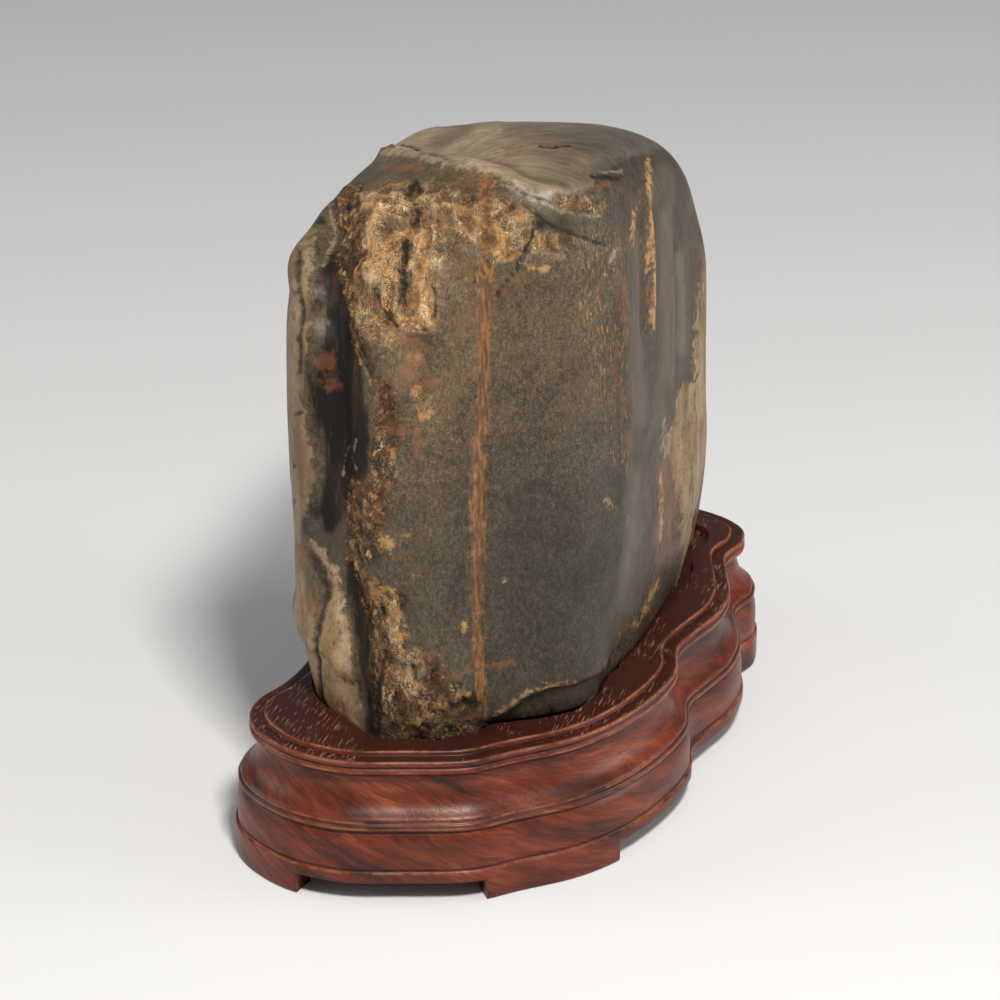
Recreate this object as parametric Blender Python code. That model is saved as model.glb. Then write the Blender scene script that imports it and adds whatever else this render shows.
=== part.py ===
"""A water-worn stone on a carved hardwood stand with a lobed outline.

Sizes are in millimetres and are turned into metres when a mesh is made.
X runs across the stand, Y along it from front to back, and Z up from the table.
The stone rests in a shallow socket cut to its foot and can be lifted out.
"""
import math

import bmesh
import bpy
import numpy as np

MM = 0.001
FIT_GAP = 0.5
SHARP_ANGLE = 35

# ---------------------------------------------------------------- the stand
# Corner points of the stand's widest outline, seen from above, going round
# from the front left corner past the right side to the back and the left side.
STAND_OUTLINE = [
    (-94, -76), (-84, -92), (-62, -105), (-36, -108), (-9, -101), (16, -92), (33, -78),
    (54, -60), (69, -38), (79, -10), (82, 14), (78, 34), (81, 48), (87, 70), (87, 92), (81, 112),
    (77, 126), (81, 142), (76, 160), (58, 173), (30, 179), (4, 174), (-14, 174), (-40, 179),
    (-66, 171), (-82, 152), (-82, 134), (-90, 114), (-94, 88), (-90, 62), (-85, 44), (-89, 22),
    (-90, 0), (-87, -22), (-89, -42), (-95, -60),
]
OUTLINE_STEPS = 84
CORNER_STEPS = 24

# Section through the moulding, from the foot up: how far in from the outline,
# and how high. A skirt, a full body, a thin lip, a hollow and a rim that
# the plate stands a little above.
FOOT_HEIGHT = 10.0
PLATE_HEIGHT = 65.0
MOULDING = [
    (0.6, 0.0), (0.0, 2.0), (0.0, 14.0), (1.2, 15.6), (1.0, 22.0), (1.4, 28.0), (3.2, 32.6),
    (2.0, 34.0), (1.8, 36.2), (3.2, 38.6), (6.6, 41.0), (9.4, 45.5), (10.8, 51.0), (10.6, 55.0),
    (7.8, 57.6), (7.2, 60.2), (7.8, 62.5), (9.2, 63.4), (13.4, 63.2), (14.4, PLATE_HEIGHT),
]
# The underside is relieved inside the skirt, which is then cut into four feet.
HOLLOW_INSET = 11.0
HOLLOW_HEIGHT = 14.5
# Openings between the feet, as stretches of the outline's length from 0 to 1.
FOOT_GAPS = [(0.062, 0.163), (0.240, 0.448), (0.560, 0.640), (0.735, 0.945)]
GAP_REACH = 6.0
GAP_FINENESS = 4
GAP_STRIDE = 8

# ---------------------------------------------------------------- the stone
# Each flat: name, the way it faces (degrees round from the front towards the
# right, degrees upward), and a point (x, y, z) it passes through.
STONE_FLATS = [
    ("front", 29, 1, (8, -55, 150)),
    ("nose", -8, -1, (-38, -79, 120)),
    ("front left", -50, -1, (-72, -62, 150)),
    ("left", -90, 0, (-79, 30, 150)),
    ("back left", -140, 3, (-54, 145, 150)),
    ("back", 176, 3, (0, 160, 150)),
    ("back right", 128, 5, (41, 151, 130)),
    ("right", 87, 0, (60, 60, 150)),
    ("front right", 62, 2, (52, -22, 150)),
    ("crown", 170, 86, (0, 0, 301)),
    ("back slope", 178, 60, (10, 80, 283)),
    ("crust shoulder", -12, 42, (-20, -48, 272)),
    ("left shoulder", -81, 54, (-74.5, -1, 280)),
    ("left top", -102, 71, (-37, 19, 282.2)),
    ("right shoulder", 101, 30, (51, 60, 276)),
    ("front edge", 28, 50, (15, -42, 293)),
]
ROUNDING = 7.0
STONE_BOTTOM = 62.0
FOOT_PULL = 7.0
FOOT_PULL_FROM = 130.0
STONE_CUTS = 22
# The surface is found along rays from a point inside, by halving the distance.
RAY_CENTRE = (-10.0, 20.0, 175.0)
RAY_NEAR = 10.0
RAY_FAR = 320.0
RAY_HALVINGS = 26
NORMAL_REACH = 0.5
BLEND_LIMIT = 60
LUMP_GRID = 32

# Lines and spots on the front are placed as a front view shows them: how far
# across, along a line turned a little from X, and how high.
FRONT_TURN = 17.0
# Where the front, the side and the top take over, by how much the surface faces them.
FRONT_MIDDLE = -3
FRONT_FADE = (0.0, 0.35)
SIDE_FADE = (0.35, 0.75)
TOP_FADE = (0.45, 0.75)
# Each line: its points, its half width, and how far it stands out or cuts in.
FRONT_LINES = [
    ([(-69, 268), (-67, 240), (-66, 190), (-65, 145), (-58, 112), (-55, 76)], 10.0, -8.0),
    ([(-76, 235), (-77, 190), (-76, 150)], 6.0, 2.0),
    ([(-46, 232), (-50, 196), (-48, 160), (-50, 130)], 8.0, 3.0),
    ([(-9, 262), (-8, 200), (-9, 140), (-11, 84)], 4.0, -1.2),
    ([(-30, 130), (-32, 100), (-30, 76)], 12.0, 3.0),
    ([(40, 284), (47, 262), (50, 210), (50, 160)], 5.0, 1.6),
    ([(-22, 262), (-27, 246), (-40, 238), (-55, 240)], 5.0, 2.0),
]
# Each spot: its middle, its radius, and how far it stands out or cuts in.
FRONT_SPOTS = [
    ((8, 275), 8.0, -3.2),
    ((20, 272), 7.0, -3.0),
    ((-38, 262), 6.0, -3.0),
    ((-52, 256), 7.0, 2.6),
    ((-27, 262), 7.0, 2.4),
    ((-79, 100), 10.0, 2.5),
    ((-62, 90), 8.0, 2.5),
    ((-33, 236), 6.0, -1.8),
    ((-76, 256), 12.0, 4.5),
]
# Lines on the right side: points as (distance back, height).
SIDE_LINES = [
    ([(28, 275), (26, 240), (25, 175)], 5.0, 1.8),
    ([(50, 262), (51, 215), (52, 165)], 5.0, 1.8),
    ([(38, 262), (38, 170)], 5.0, -1.4),
    ([(95, 215), (88, 150), (84, 110)], 17.0, 2.5),
    ([(148, 150), (148, 56)], 15.0, 8.0),
    ([(118, 98), (119, 56)], 11.0, -5.0),
    ([(64, 150), (66, 100)], 6.0, -1.8),
]
# Ridges and creases on the top: points as (x, y).
TOP_LINES = [
    ([(-66, 58), (-52, 40), (-38, 17), (-22, 2), (-4, -14), (12, -25)], 6.0, 2.4),
    ([(-38, 34), (-20, 18), (-4, 4)], 6.0, -2.2),
    ([(18, -16), (34, -10), (44, 8)], 6.0, -1.8),
]
LEDGE = [(-12, 70), (0, 74), (7, 79), (18, 82), (30, 81), (44, 78), (60, 70)]
LEDGE_DEPTH = 5.0
LEDGE_STEP = (-1.0, 4.0)
LEDGE_LEFT_FADE = (-16, -8)
LEDGE_RIGHT_FADE = (52, 64)
# The front spreads forward toward the foot.
FOOT_SWELL = 14.0
FOOT_SWELL_TOP = 125.0
FOOT_SWELL_LEFT = (-68, -48)
FOOT_SWELL_RIGHT = (25, 60)
SWELL_SIZE = 46.0
SWELL_HEIGHT = 1.5
SWELL_SEED = 3
CRUST_MIDDLE = (-38, 256)
CRUST_REACH = (34, 34)
CRUST_LUMP = 13.0
CRUST_HEIGHT = 2.6
CRUST_FADE = (0.7, 1.1)
CRUST_SEED = 8


def facing(turn, lift):
    """The unit direction at a turn round from the front and a lift above level."""
    turn, lift = math.radians(turn), math.radians(lift)
    return np.array([math.sin(turn) * math.cos(lift), -math.cos(turn) * math.cos(lift), math.sin(lift)])


def smooth(value, low, high):
    """0 below low, 1 above high, with a soft step between."""
    part = np.clip((value - low) / (high - low), 0, 1)
    return part * part * (3 - 2 * part)


def lumps(point, size, seed):
    """Soft lumps about one size across, between -1 and 1."""
    grid = np.random.default_rng(seed).uniform(-1, 1, (LUMP_GRID, LUMP_GRID, LUMP_GRID))
    place = point / size
    cell = np.floor(place).astype(int)
    part = place - cell
    part = part * part * (3 - 2 * part)
    total = np.zeros(len(point))
    for corner in range(8):
        step = np.array([corner & 1, corner >> 1 & 1, corner >> 2 & 1])
        share = np.prod(np.where(step == 1, part, 1 - part), axis=1)
        x, y, z = ((cell + step) % LUMP_GRID).T
        total += share * grid[x, y, z]
    return total


def distance_to(place, path):
    """How far each place in a plane is from a line through the path's points."""
    path = np.array(path, float)
    best = np.full(len(place), 1e9)
    for start, end in zip(path[:-1], path[1:]):
        run = end - start
        along = np.clip((place - start) @ run / (run @ run), 0, 1)
        away = place - start - along[:, None] * run
        best = np.minimum(best, np.hypot(away[:, 0], away[:, 1]))
    return best


# ---------------------------------------------------------------- the stone's shape
def stone_field(point):
    """Below zero inside the stone: the flats, blended where they meet."""
    total = np.zeros(len(point))
    for name, turn, lift, through in STONE_FLATS:
        out = (point - np.array(through, float)) @ facing(turn, lift)
        total += np.exp(np.clip(out / ROUNDING, -BLEND_LIMIT, BLEND_LIMIT))
    low = np.clip((FOOT_PULL_FROM - point[:, 2]) / (FOOT_PULL_FROM - PLATE_HEIGHT), 0, 1)
    return ROUNDING * np.log(total) + FOOT_PULL * low ** 2


def bare_surface(direction):
    """Where rays from the stone's middle meet its blended flats."""
    centre = np.array(RAY_CENTRE)
    near, far = np.full(len(direction), RAY_NEAR), np.full(len(direction), RAY_FAR)
    for halving in range(RAY_HALVINGS):
        middle = (near + far) / 2
        inside = stone_field(centre + direction * middle[:, None]) < 0
        near = np.where(inside, middle, near)
        far = np.where(inside, far, middle)
    return centre + direction * near[:, None]


def surface_normal(point):
    """The way the blended flats face at each point."""
    slope = []
    for axis in np.eye(3) * NORMAL_REACH:
        slope.append(stone_field(point + axis) - stone_field(point - axis))
    normal = np.array(slope).T
    return normal / np.linalg.norm(normal, axis=1)[:, None]


def front_view(point):
    """Places on the front as (across, height)."""
    turn = math.radians(FRONT_TURN)
    across = point[:, 0] * math.cos(turn) + point[:, 1] * math.sin(turn)
    return np.column_stack([across, point[:, 2]])


def relief(point, normal):
    """How far the surface stands out from the blended flats, in millimetres."""
    front = front_view(point)
    side = point[:, 1:]
    plan = point[:, :2]
    on_front = smooth(normal @ facing(FRONT_MIDDLE, 0), *FRONT_FADE)
    on_side = smooth(normal[:, 0], *SIDE_FADE)
    on_top = smooth(normal[:, 2], *TOP_FADE)
    out = SWELL_HEIGHT * lumps(point, SWELL_SIZE, SWELL_SEED)
    for path, width, height in FRONT_LINES:
        out += on_front * height * np.exp(-(distance_to(front, path) / width) ** 2)
    for middle, radius, height in FRONT_SPOTS:
        away = np.hypot(*(front - middle).T)
        out += on_front * height * np.exp(-(away / radius) ** 4)
    for path, width, height in SIDE_LINES:
        out += on_side * height * np.exp(-(distance_to(side, path) / width) ** 2)
    for path, width, height in TOP_LINES:
        out += on_top * height * np.exp(-(distance_to(plan, path) / width) ** 2)
    ledge = np.array(LEDGE, float)
    edge_height = np.interp(front[:, 0], ledge[:, 0], ledge[:, 1])
    ends = smooth(front[:, 0], *LEDGE_LEFT_FADE) * (1 - smooth(front[:, 0], *LEDGE_RIGHT_FADE))
    out -= on_front * ends * LEDGE_DEPTH * smooth(edge_height - front[:, 1], *LEDGE_STEP)
    spread = smooth(front[:, 0], *FOOT_SWELL_LEFT) * (1 - smooth(front[:, 0], *FOOT_SWELL_RIGHT))
    out += on_front * spread * FOOT_SWELL * (1 - smooth(front[:, 1], PLATE_HEIGHT, FOOT_SWELL_TOP))
    crust = np.hypot(*((front - CRUST_MIDDLE) / CRUST_REACH).T)
    out += on_front * (1 - smooth(crust, *CRUST_FADE)) * CRUST_HEIGHT * lumps(point, CRUST_LUMP, CRUST_SEED)
    return out


def stone_surface(direction, swell):
    """The finished surface along each ray, moved outward by a swell."""
    point = bare_surface(direction)
    normal = surface_normal(point)
    return point + normal * (relief(point, normal) + swell)[:, None]


# ---------------------------------------------------------------- the stand's shape
def outline_points(steps):
    """A smooth closed curve through the outline's corners, in equal steps."""
    corner = np.array(STAND_OUTLINE, float)
    before, after, beyond = np.roll(corner, 1, 0), np.roll(corner, -1, 0), np.roll(corner, -2, 0)
    fine = []
    for t in np.linspace(0, 1, CORNER_STEPS, endpoint=False):
        fine.append(0.5 * (2 * corner + (after - before) * t
                           + (2 * before - 5 * corner + 4 * after - beyond) * t ** 2
                           + (3 * corner - before - 3 * after + beyond) * t ** 3))
    curve = np.array(fine).transpose(1, 0, 2).reshape(-1, 2)
    closed = np.vstack([curve, curve[:1]])
    run = np.concatenate([[0], np.cumsum(np.linalg.norm(np.diff(closed, axis=0), axis=1))])
    wanted = np.linspace(0, run[-1], steps, endpoint=False)
    return np.column_stack([np.interp(wanted, run, closed[:, axis]) for axis in (0, 1)])


def inward(curve):
    """Unit directions pointing into a closed curve that runs anticlockwise."""
    along = np.roll(curve, -1, 0) - np.roll(curve, 1, 0)
    along /= np.linalg.norm(along, axis=1)[:, None]
    return np.column_stack([-along[:, 1], along[:, 0]])


def ring(curve, inset, height):
    """The outline moved in by an inset and lifted to a height."""
    return np.column_stack([curve + inward(curve) * inset, np.full(len(curve), height)])


# ---------------------------------------------------------------- making objects
def clear_scene():
    for old in list(bpy.data.objects):
        bpy.data.objects.remove(old, do_unlink=True)


def plain_material(name, colour, roughness):
    made = bpy.data.materials.new(name)
    made.use_nodes = True
    shader = made.node_tree.nodes["Principled BSDF"]
    shader.inputs["Base Color"].default_value = (*colour, 1)
    shader.inputs["Roughness"].default_value = roughness
    shader.inputs["Metallic"].default_value = 0.0
    made.diffuse_color = (*colour, 1)
    return made


def object_from(name, bm, middle):
    """Turn a mesh in millimetres into an object in metres, centred on the stand."""
    bmesh.ops.translate(bm, verts=bm.verts, vec=(-middle[0], -middle[1], 0))
    bmesh.ops.scale(bm, verts=bm.verts, vec=(MM, MM, MM))
    bmesh.ops.recalc_face_normals(bm, faces=bm.faces)
    mesh = bpy.data.meshes.new(name)
    bm.to_mesh(mesh)
    bm.free()
    made = bpy.data.objects.new(name, mesh)
    bpy.context.scene.collection.objects.link(made)
    return made


def cube_ball(cuts):
    """A cube blown up into a ball, whose cells stay nearly equal."""
    bm = bmesh.new()
    bmesh.ops.create_cube(bm, size=2.0)
    bmesh.ops.subdivide_edges(bm, edges=bm.edges[:], cuts=cuts - 1, use_grid_fill=True)
    bmesh.ops.triangulate(bm, faces=bm.faces[:], quad_method="FIXED")
    for vert in bm.verts:
        for axis in range(3):
            vert.co[axis] = math.tan(vert.co[axis] * math.pi / 4)
        vert.co.normalize()
    return bm


def stone_bmesh(swell):
    """The stone sawn flat at its foot, swollen outward to make a cutter of it."""
    bm = cube_ball(STONE_CUTS)
    place = stone_surface(np.array([vert.co[:] for vert in bm.verts]), swell)
    for vert, co in zip(bm.verts, place):
        vert.co = co
    sawn = bmesh.ops.bisect_plane(
        bm, geom=bm.verts[:] + bm.edges[:] + bm.faces[:], plane_co=(0, 0, STONE_BOTTOM - swell),
        plane_no=(0, 0, -1), clear_outer=True)
    rim = [item for item in sawn["geom_cut"] if isinstance(item, bmesh.types.BMEdge)]
    bmesh.ops.edgeloop_fill(bm, edges=rim)
    return bm


def stand_bmesh():
    """The moulding swept round the outline, with its underside relieved."""
    curve = outline_points(OUTLINE_STEPS)
    bm = bmesh.new()
    loops = []
    for inset, height in MOULDING + [(HOLLOW_INSET, 0.0), (HOLLOW_INSET, HOLLOW_HEIGHT)]:
        loops.append([bm.verts.new(co) for co in ring(curve, inset, height)])
    rim, floor, roof = loops[len(MOULDING) - 1], loops[-2], loops[-1]
    pairs = list(zip(loops[:len(MOULDING) - 1], loops[1:len(MOULDING)])) + [(floor, loops[0]), (roof, floor)]
    for lower, upper in pairs:
        for step in range(OUTLINE_STEPS):
            after = (step + 1) % OUTLINE_STEPS
            bm.faces.new((lower[step], lower[after], upper[after], upper[step]))
    bm.faces.new(rim)
    bm.faces.new(list(reversed(roof)))
    return bm


def gap_bmesh(start, end):
    """A curved block that cuts the skirt away between two feet."""
    curve = outline_points(OUTLINE_STEPS * GAP_FINENESS)
    stretch = slice(round(start * len(curve)), round(end * len(curve)) + 1, GAP_STRIDE)
    outer = ring(curve, -GAP_REACH, 0.0)[stretch, :2]
    inner = ring(curve, HOLLOW_INSET + GAP_REACH, 0.0)[stretch, :2]
    loop = np.vstack([outer, inner[::-1]])
    bm = bmesh.new()
    base = bm.faces.new([bm.verts.new((x, y, -GAP_REACH)) for x, y in loop])
    raised = bmesh.ops.extrude_face_region(bm, geom=[base])
    top = [item for item in raised["geom"] if isinstance(item, bmesh.types.BMVert)]
    bmesh.ops.translate(bm, verts=top, vec=(0, 0, GAP_REACH + FOOT_HEIGHT))
    return bm


def cut(target, cutter):
    """Take a hidden cutter's shape out of a piece."""
    cutter.hide_render = True
    cutter.display_type = "WIRE"
    boolean = target.modifiers.new(cutter.name, "BOOLEAN")
    boolean.operation = "DIFFERENCE"
    boolean.solver = "EXACT"
    boolean.object = cutter


def main():
    clear_scene()
    outline = outline_points(OUTLINE_STEPS)
    middle = (outline.min(0) + outline.max(0)) / 2

    stone = object_from("stone", stone_bmesh(0.0), middle)
    stone.data.materials.append(plain_material("worn stone", (0.13, 0.11, 0.075), 0.5))
    stone.data.shade_smooth()

    stand = object_from("stand", stand_bmesh(), middle)
    stand.data.materials.append(plain_material("oiled hardwood", (0.12, 0.035, 0.022), 0.35))
    stand.data.shade_smooth()
    stand.data.set_sharp_from_angle(angle=math.radians(SHARP_ANGLE))
    cut(stand, object_from("socket cutter", stone_bmesh(FIT_GAP), middle))
    for number, (start, end) in enumerate(FOOT_GAPS, 1):
        cut(stand, object_from(f"gap cutter {number}", gap_bmesh(start, end), middle))


main()
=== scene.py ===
# %% [markdown]
# # A scholar's rock on its carved stand
# A scholar's rock is a stone picked for its shape and skin, and lifted out of
# the everyday by a stand that was carved to fit it. This one is an upright,
# water-worn block with a golden crust at one shoulder. The stand is dark
# rosewood with a lobed outline. Two plain solids already say how big both are
# and where they stand. This lesson dresses those solids: it makes a finely
# worked stone and a finely moulded stand in the same places, and then gives
# each a skin made only from formulas.

# %% Load the two plain solids
import math

import bmesh
import bpy
import numpy as np
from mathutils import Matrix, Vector


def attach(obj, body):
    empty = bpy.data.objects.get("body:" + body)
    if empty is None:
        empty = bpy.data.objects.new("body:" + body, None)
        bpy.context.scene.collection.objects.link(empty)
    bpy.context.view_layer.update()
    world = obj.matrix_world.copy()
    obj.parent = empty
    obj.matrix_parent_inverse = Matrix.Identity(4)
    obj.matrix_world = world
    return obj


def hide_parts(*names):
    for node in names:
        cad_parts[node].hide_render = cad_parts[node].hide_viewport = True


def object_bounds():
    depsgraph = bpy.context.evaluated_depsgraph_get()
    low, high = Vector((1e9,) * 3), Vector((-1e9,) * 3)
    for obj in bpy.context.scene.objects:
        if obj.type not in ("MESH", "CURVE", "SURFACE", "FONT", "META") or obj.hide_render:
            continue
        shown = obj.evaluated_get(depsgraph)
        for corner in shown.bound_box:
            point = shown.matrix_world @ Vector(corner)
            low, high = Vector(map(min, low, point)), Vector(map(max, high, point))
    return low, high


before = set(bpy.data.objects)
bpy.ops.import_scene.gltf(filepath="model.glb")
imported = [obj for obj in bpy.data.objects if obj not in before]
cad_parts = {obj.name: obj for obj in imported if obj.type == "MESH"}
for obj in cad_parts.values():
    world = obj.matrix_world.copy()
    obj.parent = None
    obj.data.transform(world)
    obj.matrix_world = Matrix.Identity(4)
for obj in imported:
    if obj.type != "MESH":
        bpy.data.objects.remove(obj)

solid_low, solid_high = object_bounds()
solid_size = [round(side * 1000, 1) for side in solid_high - solid_low]
print("solids:", sorted(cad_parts), "size in mm", solid_size)

# %% [markdown]
# ## Millimetres, and one middle for everything
# Blender counts in metres, but a carver thinks in millimetres, so every size
# here is in millimetres and turned into metres at the end. The stand's outline
# is written down as corner points, and a smooth closed curve is drawn through
# them. The middle of that curve's box is the zero point of the loaded solids,
# so the outline has to come first.

# %% Draw the stand's outline
MM = 0.001
STAND_OUTLINE = [
    (-94, -76), (-84, -92), (-62, -105), (-36, -108), (-9, -101), (16, -92), (33, -78),
    (54, -60), (69, -38), (79, -10), (82, 14), (78, 34), (81, 48), (87, 70), (87, 92), (81, 112),
    (77, 126), (81, 142), (76, 160), (58, 173), (30, 179), (4, 174), (-14, 174), (-40, 179),
    (-66, 171), (-82, 152), (-82, 134), (-90, 114), (-94, 88), (-90, 62), (-85, 44), (-89, 22),
    (-90, 0), (-87, -22), (-89, -42), (-95, -60),
]
CORNER_STEPS = 24
SOLID_STEPS = 84


def outline_points(steps):
    """A smooth closed curve through the outline's corners, in equal steps."""
    corner = np.array(STAND_OUTLINE, float)
    before, after, beyond = np.roll(corner, 1, 0), np.roll(corner, -1, 0), np.roll(corner, -2, 0)
    fine = []
    for t in np.linspace(0, 1, CORNER_STEPS, endpoint=False):
        fine.append(0.5 * (2 * corner + (after - before) * t
                           + (2 * before - 5 * corner + 4 * after - beyond) * t ** 2
                           + (3 * corner - before - 3 * after + beyond) * t ** 3))
    curve = np.array(fine).transpose(1, 0, 2).reshape(-1, 2)
    closed = np.vstack([curve, curve[:1]])
    run = np.concatenate([[0], np.cumsum(np.linalg.norm(np.diff(closed, axis=0), axis=1))])
    wanted = np.linspace(0, run[-1], steps, endpoint=False)
    return np.column_stack([np.interp(wanted, run, closed[:, axis]) for axis in (0, 1)])


solid_outline = outline_points(SOLID_STEPS)
middle = (solid_outline.min(0) + solid_outline.max(0)) / 2
print("middle of the stand, mm:", middle.round(3))


def to_room(place):
    """Millimetres on the drawing turned into metres round the stand's middle."""
    return (np.asarray(place, float) - (middle[0], middle[1], 0.0)) * MM


# %% [markdown]
# ## The camera comes early
# The stone's colours are laid on from a drawing, as a mural painter works from
# a sheet held up at arm's length. So the eye that looks at that sheet has to be
# fixed before any paint. It stands a little to the right of the front and looks
# down on the stone through a long lens, which keeps the upright edges upright.

# %% Set up the camera
EYE_TURN = math.radians(17)
EYE_LIFT = math.radians(26)
EYE_DISTANCE = 1400.0
LOOK_AT = np.array([0.0, 0.0, 140.0])
LENS = 120
FILM = 36
eye_back = np.array([math.sin(EYE_TURN) * math.cos(EYE_LIFT),
                     -math.cos(EYE_TURN) * math.cos(EYE_LIFT), math.sin(EYE_LIFT)])
eye_right = np.array([math.cos(EYE_TURN), math.sin(EYE_TURN), 0.0])
eye_up = np.cross(eye_back, eye_right)
eye = LOOK_AT + eye_back * EYE_DISTANCE

camera = bpy.data.objects.new("camera", bpy.data.cameras.new("camera"))
bpy.context.scene.collection.objects.link(camera)
camera.data.lens = LENS
camera.data.sensor_width = FILM
camera.location = to_room(eye)
camera.rotation_mode = "QUATERNION"
camera.rotation_quaternion = Vector(eye_back).to_track_quat("Z", "Y")
bpy.context.scene.camera = camera
print("camera at, m:", [round(part, 3) for part in camera.location])

# %% [markdown]
# ## A few tools for shapes made by formula
# Five small helpers do most of the work on the stone. `smooth` makes a soft
# step. `lumps` gives random soft hills, the same on every run. `distance_to`
# says how far a place is from a drawn line, and `inside` how deep it lies in a
# drawn patch. `sheet` says where on the sheet the eye sees a point. Worn stone
# is nearly all soft steps along such lines and patches.

# %% Helpers for soft steps, lumps, lines and patches
LUMP_GRID = 32
FAR_AWAY = 1e9
SHEET_SIDE = 1000


def smooth(value, low, high):
    """0 below low, 1 above high, with a soft step between."""
    part = np.clip((value - low) / (high - low), 0, 1)
    return part * part * (3 - 2 * part)


def lumps(point, size, seed):
    """Soft lumps about one size across, between -1 and 1."""
    grid = np.random.default_rng(seed).uniform(-1, 1, (LUMP_GRID, LUMP_GRID, LUMP_GRID))
    place = point / size
    cell = np.floor(place).astype(int)
    part = place - cell
    part = part * part * (3 - 2 * part)
    total = np.zeros(len(point))
    for corner in range(8):
        step = np.array([corner & 1, corner >> 1 & 1, corner >> 2 & 1])
        share = np.prod(np.where(step == 1, part, 1 - part), axis=1)
        x, y, z = ((cell + step) % LUMP_GRID).T
        total += share * grid[x, y, z]
    return total


def distance_to(place, path):
    """How far each place in a plane is from a line through the path's points."""
    path = np.array(path, float)
    best = np.full(len(place), FAR_AWAY)
    for start, end in zip(path[:-1], path[1:]):
        run = end - start
        along = np.clip((place - start) @ run / (run @ run), 0, 1)
        away = place - start - along[:, None] * run
        best = np.minimum(best, np.hypot(away[:, 0], away[:, 1]))
    return best


def inside(place, corners):
    """How deep each place lies inside a patch, below zero outside it."""
    x, y = place.T
    within = np.zeros(len(place), bool)
    for (ax, ay), (bx, by) in zip(corners, corners[1:] + corners[:1]):
        if ay != by:
            crosses = (ay > y) != (by > y)
            within ^= crosses & (x < ax + (y - ay) * (bx - ax) / (by - ay))
    return np.where(within, 1, -1) * distance_to(place, corners + corners[:1])


def sheet(point):
    """Where the eye sees each point on a sheet of 1000 by 1000 squares, y down."""
    away = point - eye
    depth = -(away @ eye_back)
    scale = LENS / FILM * SHEET_SIDE / depth
    half = SHEET_SIDE / 2
    return np.column_stack([half + scale * (away @ eye_right), half - scale * (away @ eye_up)])


print("the eye sees the look-at point at", sheet(LOOK_AT[None]).round(1))

# %% [markdown]
# ## The stone's body
# A worn stone is a broken block whose corners the river has taken off. So its
# body starts as sixteen flats, each with the way it faces and one point that it
# passes through, and the flats are blended where they meet. The blend is one
# formula: a sum of exponentials, which rounds every corner by the same amount,
# as tumbling does.

# %% The sixteen flats of the stone
STONE_FLATS = [
    ("front", 29, 1, (8, -55, 150)),
    ("nose", -8, -1, (-38, -79, 120)),
    ("front left", -50, -1, (-72, -62, 150)),
    ("left", -90, 0, (-79, 30, 150)),
    ("back left", -140, 3, (-54, 145, 150)),
    ("back", 176, 3, (0, 160, 150)),
    ("back right", 128, 5, (41, 151, 130)),
    ("right", 87, 0, (60, 60, 150)),
    ("front right", 62, 2, (52, -22, 150)),
    ("crown", 170, 86, (0, 0, 301)),
    ("back slope", 178, 60, (10, 80, 283)),
    ("crust shoulder", -12, 42, (-20, -48, 272)),
    ("left shoulder", -81, 54, (-74.5, -1, 280)),
    ("left top", -102, 71, (-37, 19, 282.2)),
    ("right shoulder", 101, 30, (51, 60, 276)),
    ("front edge", 28, 50, (15, -42, 293)),
]
ROUNDING = 7.0
BLEND_LIMIT = 60
PLATE_HEIGHT = 65.0
STONE_BOTTOM = 62.0
FOOT_PULL = 7.0
FOOT_PULL_FROM = 130.0
NORMAL_REACH = 0.5
RAY_FAR = 160.0
RAY_HALVINGS = 22


def facing(turn, lift):
    """The unit direction at a turn round from the front and a lift above level."""
    turn, lift = math.radians(turn), math.radians(lift)
    return np.array([math.sin(turn) * math.cos(lift), -math.cos(turn) * math.cos(lift), math.sin(lift)])


def stone_field(point):
    """Below zero inside the stone: the flats, blended where they meet."""
    total = np.zeros(len(point))
    for name, turn, lift, through in STONE_FLATS:
        out = (point - np.array(through, float)) @ facing(turn, lift)
        total += np.exp(np.clip(out / ROUNDING, -BLEND_LIMIT, BLEND_LIMIT))
    low = np.clip((FOOT_PULL_FROM - point[:, 2]) / (FOOT_PULL_FROM - PLATE_HEIGHT), 0, 1)
    return ROUNDING * np.log(total) + FOOT_PULL * low ** 2


def surface_normal(point):
    """The way the blended flats face at each point."""
    slope = []
    for axis in np.eye(3) * NORMAL_REACH:
        slope.append(stone_field(point + axis) - stone_field(point - axis))
    normal = np.array(slope).T
    return normal / np.linalg.norm(normal, axis=1)[:, None]


def bare_surface(start, direction):
    """Where rays from points inside the stone meet its blended flats."""
    near, far = np.zeros(len(direction)), np.full(len(direction), RAY_FAR)
    for _ in range(RAY_HALVINGS):
        half = (near + far) / 2
        within = stone_field(start + direction * half[:, None]) < 0
        near = np.where(within, half, near)
        far = np.where(within, far, half)
    return start + direction * near[:, None]


# %% [markdown]
# ## A net of cells round the stone
# Detail needs small cells, but a stone with small cells all over would be far
# too heavy. The net is therefore a box of coarse cells whose front is split
# once, and whose crusted corner is split twice. Each point of the box looks
# straight in at a smaller box inside the stone, and slides along that line
# until it lies on the stone's surface.

# %% Cut the net and lay it on the stone
NET_LOW = np.array([-82.0, -80.0, 54.0])
NET_HIGH = np.array([68.0, 166.0, 300.0])
BONE_LOW = np.array([-35.0, -30.0, -100.0])
BONE_HIGH = np.array([25.0, 110.0, 240.0])
NET_CELL = 3.0
NET_WELD = 0.01
FRONT_FACES_EYE = 0.12
CRUST_FACES_EYE = 0.1
SIDE_LIMIT = 0.93
CRUSTED_CORNER = [
    (300, 190), (330, 170), (420, 150), (560, 185), (620, 205), (600, 250), (480, 275), (440, 330),
    (420, 420), (400, 480), (400, 600), (470, 640), (480, 725), (380, 740), (350, 700), (330, 560),
    (330, 330),
]


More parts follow.
